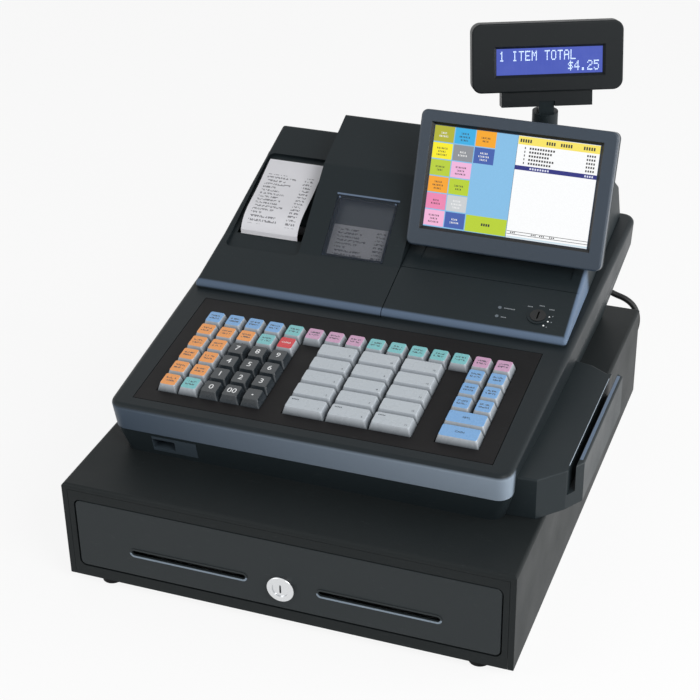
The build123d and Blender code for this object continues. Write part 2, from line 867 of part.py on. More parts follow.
with BuildPart() as keyboard_deck:
    add(upper_shape.part)
    with BuildSketch(seam) as band_hollow:
        Polygon(*seam_hollow, align=None)
        fillet(band_hollow.vertices(), corner_r - wall)
    with BuildSketch(deck.offset(-wall)) as rim_hollow:
        Polygon(
            *tapered(
                rim_half_front - wall,
                rim_half_back - wall,
                rim_front + 2 * wall,
                rim_back - 2 * wall,
            ),
            align=None,
        )
        fillet(rim_hollow.vertices(), corner_r - wall)
    loft(mode=Mode.SUBTRACT)
    # frame that carries the keyboard plate
    with BuildSketch(deck.offset(-plate_t - ledge_down)):
        with Locations((0, -wall)):
            Rectangle(plate_w + 2 * wall, plate_d + 2 * wall, align=low_edge)
    extrude(amount=plate_t + ledge_down - wall / 2)
    with BuildSketch(deck.offset(-plate_t)):
        Rectangle(plate_w, plate_d, align=low_edge)
    extrude(amount=plate_t + wall, mode=Mode.SUBTRACT)
    with BuildSketch(deck.offset(-plate_t - ledge_down)):
        with Locations((0, ledge_in)):
            Rectangle(plate_w - 2 * ledge_in, plate_d - 2 * ledge_in, align=low_edge)
    extrude(amount=2 * ledge_down, mode=Mode.SUBTRACT)
    # opening that the printer drops into
    with BuildSketch(deck.offset(wall)):
        with Locations(((opening_left + opening_right) / 2, opening_front)):
            Rectangle(
                opening_right - opening_left, opening_back - opening_front, align=low_edge
            )
    extrude(amount=-3 * wall, mode=Mode.SUBTRACT)
    # hinge ears of the printer cover
    for place in hinge_places:
        for side in (-1, 1):
            ear_mid = place + side * (hinge_hub_l / 2 + fit + hinge_ear_t / 2)
            with BuildSketch(side_plane(ear_mid - hinge_ear_t / 2)):
                with Locations((hinge_y, hinge_z)):
                    Circle(hinge_ear_r)
                with Locations((hinge_y, hinge_z)):
                    Rectangle(
                        2 * hinge_ear_r, 2 * hinge_up, align=(Align.CENTER, Align.MAX)
                    )
                with Locations((hinge_y, hinge_z)):
                    Circle(hinge_pin_r + shaft_gap, mode=Mode.SUBTRACT)
            extrude(amount=hinge_ear_t)
save(keyboard_deck, "keyboard_deck")

# ================================================================ keyboard
deck_axis = Axis(deck.origin, deck.z_dir)
first_s = key_front + key_foot / 2


def column_x(column):
    """Middle of a key column, counted from 1 at the left."""
    return key_side + (column - (columns + 1) / 2) * pitch


def row_s(row):
    """Middle of a key row along the deck, counted from 1 at the back."""
    return first_s + (rows - row) * pitch


# (column, row, columns wide) of every key cap
top_row = [(c, 1, 1) for c in range(1, columns + 1)]
function_block = [(c, 2, 1) for c in range(1, 5)]
function_block += [(c, r, 1) for r in range(3, rows + 1) for c in (1, 2)]
department_block = [(c, r, 2) for r in range(2, rows + 1) for c in (7, 9, 11)]
payment_block = [(c, r, 1) for r in range(2, 5) for c in (14, 15)]
key_nodes = {
    "key_7": [(3, 3, 1)],
    "key_8": [(4, 3, 1)],
    "key_9": [(5, 3, 1)],
    "key_4": [(3, 4, 1)],
    "key_5": [(4, 4, 1)],
    "key_6": [(5, 4, 1)],
    "key_1": [(3, 5, 1)],
    "key_2": [(4, 5, 1)],
    "key_3": [(5, 5, 1)],
    "key_0": [(3, 6, 1)],
    "key_00": [(4, 6, 1)],
    "key_point": [(5, 6, 1)],
    "clear_key": [(5, 2, 1)],
    "subtotal_key": [(14, 5, 2)],
    "cash_key": [(14, 6, 2)],
    "top_row_keys": top_row,
    "function_keys": function_block,
    "department_keys": department_block,
    "payment_keys": payment_block,
}
stem_places = [
    (column_x(c) + (wide - 1) * pitch / 2, row_s(r))
    for caps in key_nodes.values()
    for c, r, wide in caps
]
# (first column, last column, first row, last row) of each well in the plate
wells = [(1, columns, 1, 1), (1, 5, 1, rows), (7, 12, 1, rows), (14, 15, 1, rows)]
with BuildPart() as key_plate:
    with BuildSketch(deck.offset(-plate_t)):
        with Locations((0, plate_gap)):
            Rectangle(plate_w - 2 * plate_gap, plate_d - 2 * plate_gap, align=low_edge)
    extrude(amount=plate_t)
    with BuildSketch(deck.offset(-bed_drop)):
        for c1, c2, r1, r2 in wells:
            with Locations(((column_x(c1) + column_x(c2)) / 2, (row_s(r1) + row_s(r2)) / 2)):
                Rectangle(
                    (c2 - c1) * pitch + key_foot + 2 * well_gap,
                    (r2 - r1) * pitch + key_foot + 2 * well_gap,
                )
    extrude(amount=2 * bed_drop, mode=Mode.SUBTRACT)
    with BuildSketch(deck.offset(-plate_t)):
        with Locations(*stem_places):
            Circle(stem_r + stem_gap)
    extrude(amount=plate_t, mode=Mode.SUBTRACT)
save(key_plate, "key_plate")

for node, caps in key_nodes.items():
    with BuildPart() as key:
        for c, r, wide in caps:
            spread = (wide - 1) * pitch
            cap_x = column_x(c) + spread / 2
            with BuildSketch(deck.offset(-key_low)):
                with Locations((cap_x, row_s(r))):
                    RectangleRounded(key_foot + spread, key_foot, key_foot_r)
            with BuildSketch(deck.offset(key_up)):
                with Locations((cap_x, row_s(r) + key_top_shift)):
                    RectangleRounded(key_top + spread, key_top_d, key_top_r)
            loft()
        fillet(key.faces().group_by(deck_axis)[-1].edges(), key_edge_r)
        with BuildSketch(deck.offset(-key_low)):
            with Locations(*[(column_x(c) + (w - 1) * pitch / 2, row_s(r)) for c, r, w in caps]):
                Circle(stem_r)
        extrude(amount=-(stem_end - key_low))
    save(key, node)

# ================================================================ hoods
lean_cos = math.cos(math.radians(hood_lean))
lean_sin = math.sin(math.radians(hood_lean))
lean_foot_z = deck_level(hood_front)
low_profile = [
    (hood_front, hood_start),
    (hood_knee_y, hood_knee_z),
    (cover_top_y, cover_top_z),
    (hood_back, hood_rear_z),
]
middle_profile = [
    (hood_front, hood_start),
    (step_y, step_z),
    (crest_y, crest_z),
    (peak_y, peak_z),
    (drop_y, drop_z),
    (hood_back, hood_rear_z),
]
right_profile = [
    (hood_front, hood_start),
    (cheek_foot_y, cheek_foot_z),
    (cheek_top_y, cheek_top_z),
    (cheek_mid_y, cheek_mid_z),
    (hood_back, hood_rear_z),
]


def shifted(points, distance):
    """Open path moved to the right of its direction, with mitred corners."""
    moved = []
    for (ay, az), (by, bz) in zip(points, points[1:]):
        length = math.hypot(by - ay, bz - az)
        ny, nz = (bz - az) / length * distance, (ay - by) / length * distance
        moved.append(((ay + ny, az + nz), (by + ny, bz + nz)))
    path = [moved[0][0]]
    for (a, b), (c, d) in zip(moved, moved[1:]):
        u = (b[0] - a[0], b[1] - a[1])
        v = (d[0] - c[0], d[1] - c[1])
        cross = u[0] * v[1] - u[1] * v[0]
        if abs(cross) < 1e-9:
            path.append(b)
            continue
        k = ((c[0] - a[0]) * v[1] - (c[1] - a[1]) * v[0]) / cross
        path.append((a[0] + k * u[0], a[1] + k * u[1]))
    path.append(moved[-1][1])
    return path


def hood_outline(profile, down):
    """Closed side outline of a hood that stands on the deck, down above its face."""
    first, last = profile[0], profile[-1]
    return [(first[0], deck_level(first[0], down))] + list(profile) + [
        (last[0], deck_level(last[0], down))
    ]


def core_outline(profile):
    """Closed side outline of the space inside a hood, through its open bottom."""
    foot = (profile[0][0], profile[0][1] - 2 * wall)
    tail = (profile[-1][0], profile[-1][1] - 2 * wall)
    inner = shifted([foot] + list(profile) + [tail], hood_wall)
    return [(inner[0][0], cab_top + deck_rise)] + inner[1:-1] + [(inner[-1][0], cab_top + deck_rise)]


def leaning(foot_x, foot_z, side, inside):
    """Triangle-like outline outside a leaning side wall: (x, z) of its four corners."""
    high = 2 * peak_z
    low = cab_bottom
    far = side * drawer_w
    reach = side * inside / lean_cos
    top = foot_x - reach - side * (high - foot_z) * lean_sin / lean_cos
    bottom = foot_x - reach - side * (low - foot_z) * lean_sin / lean_cos
    return [(bottom, low), (top, high), (far, high), (far, low)]


cover_right = seam_x - hood_gap / 2
hood_left = seam_x + hood_gap / 2
with BuildPart() as cover_shape:
    with BuildSketch(side_plane(-hood_half)):
        with BuildLine():
            FilletPolyline(
                *hood_outline(low_profile, hood_low_gap),
                radius=[0, ridge_r, bend_r, bend_r, bend_r, 0],
                close=True,
            )
        make_face()
    extrude(amount=hood_half + cover_right)
    with BuildSketch(side_plane(step_x)):
        with BuildLine():
            FilletPolyline(
                *hood_outline(middle_profile, hood_low_gap),
                radius=[0, ridge_r, bend_r, crest_r, bend_r, bend_r, bend_r, 0],
                close=True,
            )
        make_face()
    extrude(amount=cover_right - step_x)
    with BuildSketch(body_front(hood_front - wall)):
        Polygon(*leaning(-hood_half, lean_foot_z, -1, 0), align=None)
    extrude(amount=-(hood_back - hood_front + 2 * wall), mode=Mode.SUBTRACT)

    left_wall = cover_shape.faces().sort_by(Axis.X)[0]
    fillet(left_wall.edges().sort_by(Axis.Z)[1:], side_r)

with BuildPart() as cover_core:
    with BuildSketch(side_plane(-hood_half)):
        with BuildLine():
            Polyline(*core_outline(low_profile), close=True)
        make_face()
    extrude(amount=hood_half + cover_right - hood_wall)
    with BuildSketch(body_front(hood_front - wall)):
        Polygon(*leaning(-hood_half, lean_foot_z, -1, hood_wall), align=None)
    extrude(amount=-(hood_back - hood_front + 2 * wall), mode=Mode.SUBTRACT)
    with BuildSketch(side_plane(step_x + hood_wall)):
        with BuildLine():
            Polyline(*core_outline(middle_profile), close=True)
        make_face()
    extrude(amount=cover_right - step_x - 2 * hood_wall)

low_rise = math.atan2(cover_top_z - hood_knee_z, cover_top_y - hood_knee_y)
low_panel = Plane(
    origin=(body_x, cab_y + hood_knee_y, hood_knee_z),
    x_dir=(1, 0, 0),
    z_dir=(0, -math.sin(low_rise), math.cos(low_rise)),
)
steep_rise = math.atan2(crest_z - step_z, crest_y - step_y)
steep_panel = Plane(
    origin=(body_x, cab_y + step_y, step_z),
    x_dir=(1, 0, 0),
    z_dir=(0, -math.sin(steep_rise), math.cos(steep_rise)),
)
scoop_l = (scoop_back - scoop_front) / math.cos(low_rise)
scoop_s = ((scoop_back + scoop_front) / 2 - hood_knee_y) / math.cos(low_rise)
window_s = window_start + window_l / 2
with BuildPart() as printer_cover:
    add(cover_shape.part)
    add(cover_core.part, mode=Mode.SUBTRACT)
    # pans that stiffen the cover under the paper scoop and round the window
    with BuildSketch(low_panel.offset(-hood_wall / 2)):
        with Locations((throat_mid, scoop_s)):
            Rectangle(scoop_w + 2 * hood_wall, scoop_l + 2 * hood_wall)
    extrude(amount=-(scoop_depth + hood_wall / 2))
    with BuildSketch(steep_panel.offset(-hood_wall / 2)):
        with Locations((window_mid, window_s)):
            Rectangle(window_w + 2 * hood_wall, window_l + 2 * hood_wall)
    extrude(amount=-(window_t + hood_wall / 2))
    with BuildSketch(low_panel.offset(-scoop_depth)):
        with Locations((throat_mid, scoop_s)):
            RectangleRounded(scoop_w, scoop_l, scoop_r)
    extrude(amount=2 * scoop_depth + hood_wall, mode=Mode.SUBTRACT)
    with BuildSketch(steep_panel.offset(-window_t)):
        with Locations((window_mid, window_s)):
            Rectangle(window_w, window_l)
    extrude(amount=2 * window_t, mode=Mode.SUBTRACT)
    with BuildSketch(steep_panel.offset(-2 * (window_t + hood_wall))):
        with Locations((window_mid, window_s)):
            Rectangle(window_w - 2 * window_ledge, window_l - 2 * window_ledge)
    extrude(amount=3 * (window_t + hood_wall), mode=Mode.SUBTRACT)
    with BuildSketch(body_plan(deck_z)):
        with Locations((throat_mid, throat_front)):
            Rectangle(throat_w, throat_back - throat_front, align=low_edge)
    extrude(amount=peak_z - deck_z, mode=Mode.SUBTRACT)
    # room for the hinge below the back wall
    with BuildSketch(side_plane(-hood_half)):
        with Locations((hinge_y - hinge_ear_r - hood_wall, hinge_z)):
            Rectangle(4 * hinge_ear_r, 4 * hinge_up, align=(Align.MIN, Align.MAX))
    extrude(amount=2 * hood_half, mode=Mode.SUBTRACT)
    for place in hinge_places:
        notch = hinge_hub_l + 2 * (hinge_ear_t + 2 * fit)
        with BuildSketch(side_plane(place - notch / 2)):
            with Locations((hinge_y - hinge_ear_r - fit, hinge_z)):
                Rectangle(
                    2 * (hinge_ear_r + hinge_in), hinge_ear_r + fit, align=(Align.MIN, Align.MIN)
                )
        extrude(amount=notch, mode=Mode.SUBTRACT)
        with BuildSketch(side_plane(place - hinge_hub_l / 2)):
            with Locations((hinge_y, hinge_z)):
                Circle(hinge_hub_r)
            with Locations((hood_back - hood_wall, hinge_z)):
                Rectangle(hood_wall, hinge_ear_r + 2 * hood_wall, align=(Align.MIN, Align.MIN))
        extrude(amount=hinge_hub_l)
        with BuildSketch(side_plane(place - hinge_hub_l / 2 - fit - hinge_ear_t)):
            with Locations((hinge_y, hinge_z)):
                Circle(hinge_pin_r)
        extrude(amount=hinge_hub_l + 2 * (fit + hinge_ear_t))
save(printer_cover, "printer_cover")

with BuildPart() as journal_window:
    with BuildSketch(steep_panel.offset(-window_t)):
        with Locations((window_mid, window_s)):
            Rectangle(window_w - 2 * window_gap, window_l - 2 * window_gap)
    extrude(amount=window_t)
save(journal_window, "journal_window")

# ---------------------------------------------------------------- right hood
mode_run = cheek_foot_y - hood_front
mode_tilt = math.atan2(cheek_foot_z - hood_start, mode_run)
front_panel = Plane(
    origin=(body_x, cab_y + hood_front, hood_start),
    x_dir=(1, 0, 0),
    z_dir=(0, -math.sin(mode_tilt), math.cos(mode_tilt)),
)
rear_tilt = math.atan2(cheek_top_z - cheek_foot_z, cheek_top_y - cheek_foot_y)
rear_panel = Plane(
    origin=(body_x, cab_y + cheek_foot_y, cheek_foot_z),
    x_dir=(1, 0, 0),
    z_dir=(0, -math.sin(rear_tilt), math.cos(rear_tilt)),
)
mode_s = (mode_y - hood_front) / math.cos(mode_tilt)
lamp_s = (lamp_y - hood_front) / math.cos(mode_tilt)
line_s = (line_y - hood_front) / math.cos(mode_tilt)
recess_s = ((recess_front + recess_back) / 2 - hood_front) / math.cos(mode_tilt)
boss_foot = pole_boss_top - pole_spigot_l - hood_wall
with BuildPart() as right_shape:
    with BuildSketch(side_plane(hood_left)):
        with BuildLine():
            FilletPolyline(
                *hood_outline(right_profile, 0),
                radius=[0, ridge_r, cheek_r, cheek_r, cheek_r, bend_r, 0],
                close=True,
            )
        make_face()
    extrude(amount=hood_half - hood_left)
    with BuildSketch(body_front(hood_front - wall)):
        Polygon(*leaning(hood_half, lean_foot_z, 1, 0), align=None)
    extrude(amount=-(hood_back - hood_front + 2 * wall), mode=Mode.SUBTRACT)

    right_wall = right_shape.faces().sort_by(Axis.X)[-1]
    fillet(right_wall.edges().sort_by(Axis.Z)[1:], side_r)

with BuildPart() as right_core:
    with BuildSketch(side_plane(hood_left + hood_wall)):
        with BuildLine():
            Polyline(*core_outline(right_profile), close=True)
        make_face()
    extrude(amount=hood_half - hood_left - hood_wall)
    with BuildSketch(body_front(hood_front - wall)):
        Polygon(*leaning(hood_half, lean_foot_z, 1, hood_wall), align=None)
    extrude(amount=-(hood_back - hood_front + 2 * wall), mode=Mode.SUBTRACT)

with BuildPart() as right_hood:
    add(right_shape.part)
    add(right_core.part, mode=Mode.SUBTRACT)
    # barrel and ring of the mode lock
    with BuildSketch(front_panel.offset(-mode_depth)):
        with Locations((mode_mid, mode_s)):
            Circle(mode_ring_r)
    extrude(amount=mode_depth + mode_ring_t)
    with BuildSketch(front_panel.offset(-mode_depth)):
        with Locations((mode_mid, mode_s)):
            Circle(mode_r + shaft_gap)
    extrude(amount=mode_depth + 2 * mode_ring_t, mode=Mode.SUBTRACT)
    # boss that the customer display's pole turns in
    with BuildSketch(body_plan(boss_foot)):
        with Locations((pole_mid, pole_y)):
            Circle(pole_boss_r)
    extrude(amount=pole_boss_top - boss_foot)
    fillet(right_hood.faces().filter_by(Axis.Z).sort_by(Axis.Z)[-1].edges(), wall / 2)
    with BuildSketch(body_plan(boss_foot + hood_wall)):
        with Locations((pole_mid, pole_y)):
            Circle(pole_spigot_r + shaft_gap)
    extrude(amount=2 * pole_spigot_l, mode=Mode.SUBTRACT)
    with BuildSketch(front_panel):
        with Locations(((recess_left + recess_right) / 2, recess_s)):
            Rectangle(
                recess_right - recess_left,
                (recess_back - recess_front) / math.cos(mode_tilt),
            )
        with Locations((0, line_s)):
            Rectangle(2 * hood_half, line_w)
    extrude(amount=-line_depth, mode=Mode.SUBTRACT)
    with BuildSketch(front_panel.offset(-line_depth)):
        with Locations(((recess_left + recess_right) / 2, recess_s)):
            Rectangle(
                recess_right - recess_left,
                (recess_back - recess_front) / math.cos(mode_tilt),
            )
    extrude(amount=-(recess_depth - line_depth), mode=Mode.SUBTRACT)
    with BuildSketch(front_panel.offset(-2 * hood_wall)):
        with Locations((lamp_mid, lamp_s)):
            with GridLocations(1, lamp_pitch, 1, 2):
                Circle(lamp_r)
    extrude(amount=4 * hood_wall, mode=Mode.SUBTRACT)
save(right_hood, "right_hood")

with BuildPart() as status_leds:
    with BuildSketch(front_panel.offset(-hood_wall)):
        with Locations((lamp_mid, lamp_s)):
            with GridLocations(1, lamp_pitch, 1, 2):
                Circle(lamp_r)
    extrude(amount=hood_wall + lamp_proud)
save(status_leds, "status_leds")

with BuildPart() as mode_lock_rotor:
    with BuildSketch(front_panel.offset(-mode_depth)):
        with Locations((mode_mid, mode_s)):
            Circle(mode_r)
    extrude(amount=mode_depth + mode_proud)
    with BuildSketch(front_panel.offset(mode_proud)):
        with Locations((mode_mid, mode_s)):
            Rectangle(mode_slot_w, mode_slot_l)
    extrude(amount=-mode_slot_depth, mode=Mode.SUBTRACT)
save(mode_lock_rotor, "mode_lock_rotor")

# ================================================================ printer
deck_side_x = (0, deck_cos, deck_sin)


def deck_side(x):
    """Plane across x: sketch in (distance along the deck, height above its face)."""
    return Plane(origin=deck.origin + Vector(x, 0, 0), x_dir=deck_side_x, z_dir=(1, 0, 0))


low_cheek = [
    (chassis_front, -chassis_low),
    (chassis_back, -chassis_low),
    (chassis_back, cheek_back_up),
    (cheek_back_s, cheek_back_up),
    (chassis_front, cheek_front_up),
]
high_cheek = [
    (chassis_front, -chassis_low),
    (chassis_back, -chassis_low),
    (chassis_back, cheek_back_up),
    (cheek_back_s, cheek_back_up),
    (table_top_s, table_top_up),
    (table_foot_s, cheek_front_up),
    (chassis_front, cheek_front_up),
]
cheeks = [
    (chassis_left, low_cheek),
    (chassis_mid - chassis_t / 2, high_cheek),
    (chassis_right - chassis_t, high_cheek),
]
receipt_roll_x = (chassis_left + chassis_t + chassis_mid - chassis_t / 2) / 2
journal_roll_x = (chassis_mid + chassis_t / 2 + chassis_right - chassis_t) / 2
with BuildPart() as printer_frame:
    with BuildSketch(deck.offset(-chassis_low)):
        with Locations(((chassis_left + chassis_right) / 2, chassis_front)):
            Rectangle(
                chassis_right - chassis_left, chassis_back - chassis_front, align=low_edge
            )
    extrude(amount=chassis_t)
    for left, outline in cheeks:
        with BuildSketch(deck_side(left)):
            Polygon(*outline, align=None)
        extrude(amount=chassis_t)
    # lips that rest on the deck beside the opening
    with BuildSketch(deck):
        with Locations((chassis_left - chassis_lip / 2, chassis_front)):
            Rectangle(chassis_lip, chassis_back - chassis_front, align=low_edge)
        with Locations((chassis_right + chassis_lip / 2, chassis_front)):
            Rectangle(chassis_lip, chassis_back - chassis_front, align=low_edge)
    extrude(amount=chassis_t)
    # print heads under the receipt throat and the journal table
    with BuildSketch(deck.offset(-chassis_low)):
        with Locations((receipt_roll_x, head_s), (journal_roll_x, head_s)):
            Rectangle(roll_w, head_l)
    extrude(amount=chassis_low + head_up)
    with BuildSketch(deck_side(chassis_left + chassis_t)):
        with Locations((roll_s, roll_up)):
            Circle(core_r)
    extrude(amount=chassis_right - chassis_left - 2 * chassis_t)
    with BuildSketch(steep_panel.offset(-table_down - table_t)):
        with Locations((journal_roll_x, window_s)):
            Rectangle(chassis_right - chassis_mid - chassis_t, window_l)
    extrude(amount=table_t)
save(printer_frame, "printer_frame")

for mid, name in ((receipt_roll_x, "receipt_roll"), (journal_roll_x, "journal_roll")):
    with BuildPart() as roll:
        with BuildSketch(deck_side(mid - roll_w / 2)):
            with Locations((roll_s, roll_up)):
                Circle(roll_r)
                Circle(core_r + core_gap, mode=Mode.SUBTRACT)
        extrude(amount=roll_w)
    save(roll, name)

with BuildPart() as journal_strip:
    with BuildSketch(steep_panel.offset(-table_down)):
        with Locations((window_mid, window_start)):
            Rectangle(roll_w, strip_l, align=low_edge)
    extrude(amount=paper_t)
save(journal_strip, "journal_strip")

receipt_points = [
    (receipt_foot_y, receipt_bend_z),
    (receipt_mid_y, receipt_mid_z),
    (receipt_top_y, receipt_top_z),
]
receipt_under = shifted(receipt_points, paper_t)
with BuildPart() as receipt_paper:
    with BuildSketch(side_plane(throat_mid - receipt_w / 2)):
        with BuildLine():
            front_face = Spline(*receipt_points, tangents=receipt_lean)
            Line(receipt_points[-1], receipt_under[-1])
            Spline(*receipt_under, tangents=receipt_lean)
            Line(receipt_under[0], receipt_points[0])
        make_face()
        with Locations((receipt_foot_y, receipt_bend_z)):
            Rectangle(
                paper_t, receipt_bend_z - receipt_foot_z, align=(Align.MIN, Align.MAX)
            )
    extrude(amount=receipt_w)
print("receipt length", round(front_face.length + receipt_bend_z - receipt_foot_z, 1))
save(receipt_paper, "receipt_paper")

# ================================================================ touch screen
screen_cos = math.cos(math.radians(screen_tilt))
screen_sin = math.sin(math.radians(screen_tilt))
screen = Plane(
    origin=(body_x + screen_mid, cab_y + screen_y, screen_z),
    x_dir=(1, 0, 0),
    z_dir=(0, -screen_cos, screen_sin),
)
tilt_y = screen_y + pivot_up * screen_sin + pivot_in * screen_cos
tilt_z = screen_z + pivot_up * screen_cos - pivot_in * screen_sin
with BuildPart() as screen_bezel:
    with BuildSketch(screen):
        RectangleRounded(screen_w, screen_h, screen_r)
    extrude(amount=-bezel_t)
    fillet(screen_bezel.faces().sort_by(Axis.Y)[0].edges(), bezel_edge_r)
    with BuildSketch(screen.offset(-bezel_face_t)):
        RectangleRounded(screen_w - 2 * bezel_wall, screen_h - 2 * bezel_wall, bezel_wall)
    extrude(amount=-bezel_t, mode=Mode.SUBTRACT)
    with BuildSketch(screen.offset(-bezel_face_t)):
        with Locations((view_side, view_up)):
            Rectangle(view_w - 2 * view_slope, view_h - 2 * view_slope)
    with BuildSketch(screen):
        with Locations((view_side, view_up)):
            Rectangle(view_w, view_h)
    loft(mode=Mode.SUBTRACT)
save(screen_bezel, "screen_bezel")

lcd_in = bezel_face_t + fit / 2
with BuildPart() as lcd_panel:
    with BuildSketch(screen.offset(-lcd_in)):
        with Locations((view_side, view_up)):
            Rectangle(lcd_w, lcd_h)
    extrude(amount=-(bezel_t - lcd_in))
save(lcd_panel, "lcd_panel")

bulge_in = bezel_t + back_t
with BuildPart() as screen_back:
    with BuildSketch(screen.offset(-bezel_t)):
        RectangleRounded(screen_w, screen_h, screen_r)
    extrude(amount=-back_t)
    with BuildSketch(screen.offset(-bulge_in)):
        with Locations((0, back_up)):
            RectangleRounded(back_w, back_h, screen_r)
    extrude(amount=-back_bulge, taper=back_taper)
    with BuildSketch(side_plane(screen_mid - lug_mid - lug_w / 2)) as lug_face:
        with Locations((tilt_y, tilt_z)):
            Circle(pivot_hub_r)
        with Locations(Location((tilt_y, tilt_z, 0), (0, 0, 90 - screen_tilt))):
            Rectangle(2 * pivot_hub_r, 2 * pivot_hub_r, align=(Align.CENTER, Align.MIN))
        with Locations((tilt_y, tilt_z)):
            Circle(pivot_r + shaft_gap, mode=Mode.SUBTRACT)
    extrude(amount=lug_w)
    with BuildSketch(side_plane(screen_mid + lug_mid - lug_w / 2)):
        with Locations((tilt_y, tilt_z)):
            Circle(pivot_hub_r)
        with Locations(Location((tilt_y, tilt_z, 0), (0, 0, 90 - screen_tilt))):
            Rectangle(2 * pivot_hub_r, 2 * pivot_hub_r, align=(Align.CENTER, Align.MIN))
        with Locations((tilt_y, tilt_z)):
            Circle(pivot_r + shaft_gap, mode=Mode.SUBTRACT)
    extrude(amount=lug_w)
save(screen_back, "screen_back")

tilt_s = (tilt_y - cheek_foot_y) * math.cos(rear_tilt) + (tilt_z - cheek_foot_z) * math.sin(
    rear_tilt
)
rear_turn = math.degrees(rear_tilt)
with BuildPart() as screen_bracket:
    with BuildSketch(rear_panel):
        with Locations((screen_mid, tilt_s)):
            RectangleRounded(foot_plate_w, foot_plate_l, wall)
    extrude(amount=foot_plate_t)
    for place in (-lug_mid, lug_mid):
        for side in (-1, 1):
            ear_mid = screen_mid + place + side * (lug_w / 2 + fit + ear_w / 2)
            with BuildSketch(side_plane(ear_mid - ear_w / 2)):
                with Locations((tilt_y, tilt_z)):
                    Circle(pivot_hub_r)
                with Locations(Location((tilt_y, tilt_z, 0), (0, 0, rear_turn))):
                    Rectangle(
                        2 * pivot_hub_r,
                        foot_plate_l / 2 - foot_plate_t,
                        align=(Align.CENTER, Align.MAX),
                    )
            extrude(amount=ear_w)
        with BuildSketch(side_plane(screen_mid + place - lug_w / 2 - fit - ear_w)):
            with Locations((tilt_y, tilt_z)):
                Circle(pivot_r)
        extrude(amount=lug_w + 2 * (fit + ear_w))
save(screen_bracket, "screen_bracket")
print("screen pin", round(cab_y + tilt_y, 2), round(tilt_z, 2))

# ================================================================ customer display
back_x, back_y = -turn_sin, turn_cos  # level direction into the head
pin_x = body_x + pole_mid
pin_y = cab_y + pole_y
head = Plane(
    origin=(
        pin_x + back_x * (-head_pin_up * tilt_sin - head_pin_in * tilt_cos),
        pin_y + back_y * (-head_pin_up * tilt_sin - head_pin_in * tilt_cos),
        head_pin_z - head_pin_up * tilt_cos + head_pin_in * tilt_sin,
    ),
    x_dir=(turn_cos, turn_sin, 0),
    z_dir=(-back_x * tilt_cos, -back_y * tilt_cos, tilt_sin),
)


def head_across(x):
    """Plane across the pole's turned pin at x: sketch in (level distance back, height)."""
    return Plane(
        origin=(pin_x + x * turn_cos, pin_y + x * turn_sin, head_pin_z),
        x_dir=(back_x, back_y, 0),
        z_dir=(turn_cos, turn_sin, 0),
    )


neck_l = tongue_r + chin_h / 2
with BuildPart() as pole:
    with BuildSketch(body_plan(pole_boss_top + fit)):
        with Locations((pole_mid, pole_y)):
            Circle(pole_r)
    extrude(amount=head_pin_z - neck_l - pole_boss_top - fit)
    with BuildSketch(body_plan(pole_boss_top - pole_spigot_l + fit)):
        with Locations((pole_mid, pole_y)):
            Circle(pole_spigot_r)
    extrude(amount=pole_spigot_l)
    with BuildSketch(head_across(-tongue_w / 2)):
        Circle(tongue_r)
        Rectangle(2 * tongue_r, neck_l + wall, align=(Align.CENTER, Align.MAX))
    extrude(amount=tongue_w)
    with BuildSketch(head_across(-tongue_w)):
        Circle(head_pin_r)
    extrude(amount=2 * tongue_w)
save(pole, "pole")

chin_up = head_pin_up + chin_h / 2
with BuildPart() as head_case:
    with BuildSketch(head):
        RectangleRounded(head_w, head_h, head_r)
    extrude(amount=-head_t)
    fillet(head_case.faces().sort_by(Axis((0, 0, 0), head.z_dir))[-1].edges(), head_front_r)
    fillet(head_case.faces().sort_by(Axis((0, 0, 0), head.z_dir))[0].edges(), head_back_r)
    with BuildSketch(head.offset(-(head_pin_in - chin_t / 2))):
        with Locations((0, -head_h / 2)):
            Rectangle(
                chin_w, -head_pin_up + tongue_r - head_h / 2, align=(Align.CENTER, Align.MAX)
            )
    extrude(amount=-chin_t)
    with BuildSketch(head.offset(-glass_in - glass_t)):
        with Locations((glass_side, glass_up)):
            Rectangle(glass_w + fit, glass_h + fit)
    extrude(amount=glass_in + 2 * glass_t, mode=Mode.SUBTRACT)
    with BuildSketch(head.offset(-glass_bevel)):
        with Locations((glass_side, glass_up)):
            Rectangle(glass_w + fit, glass_h + fit)
    with BuildSketch(head):
        with Locations((glass_side, glass_up)):
            Rectangle(glass_w + 2 * glass_bevel, glass_h + 2 * glass_bevel)
    loft(mode=Mode.SUBTRACT)
    # slot for the pole's tongue, and the pin's bores
    with BuildSketch(head_across(-tongue_w / 2 - fit)):
        Circle(tongue_r + 2 * fit)
        Rectangle(4 * tongue_r, 4 * tongue_r, align=(Align.CENTER, Align.MAX))
    extrude(amount=tongue_w + 2 * fit, mode=Mode.SUBTRACT)
    with BuildSketch(head_across(-tongue_w - fit)):
        Circle(head_pin_r + shaft_gap)
    extrude(amount=2 * (tongue_w + fit), mode=Mode.SUBTRACT)
save(head_case, "head_case")

with BuildPart() as head_lens:
    with BuildSketch(head.offset(-glass_in - glass_t)):
        with Locations((glass_side, glass_up)):
            Rectangle(glass_w, glass_h)
    extrude(amount=glass_t)
save(head_lens, "head_lens")

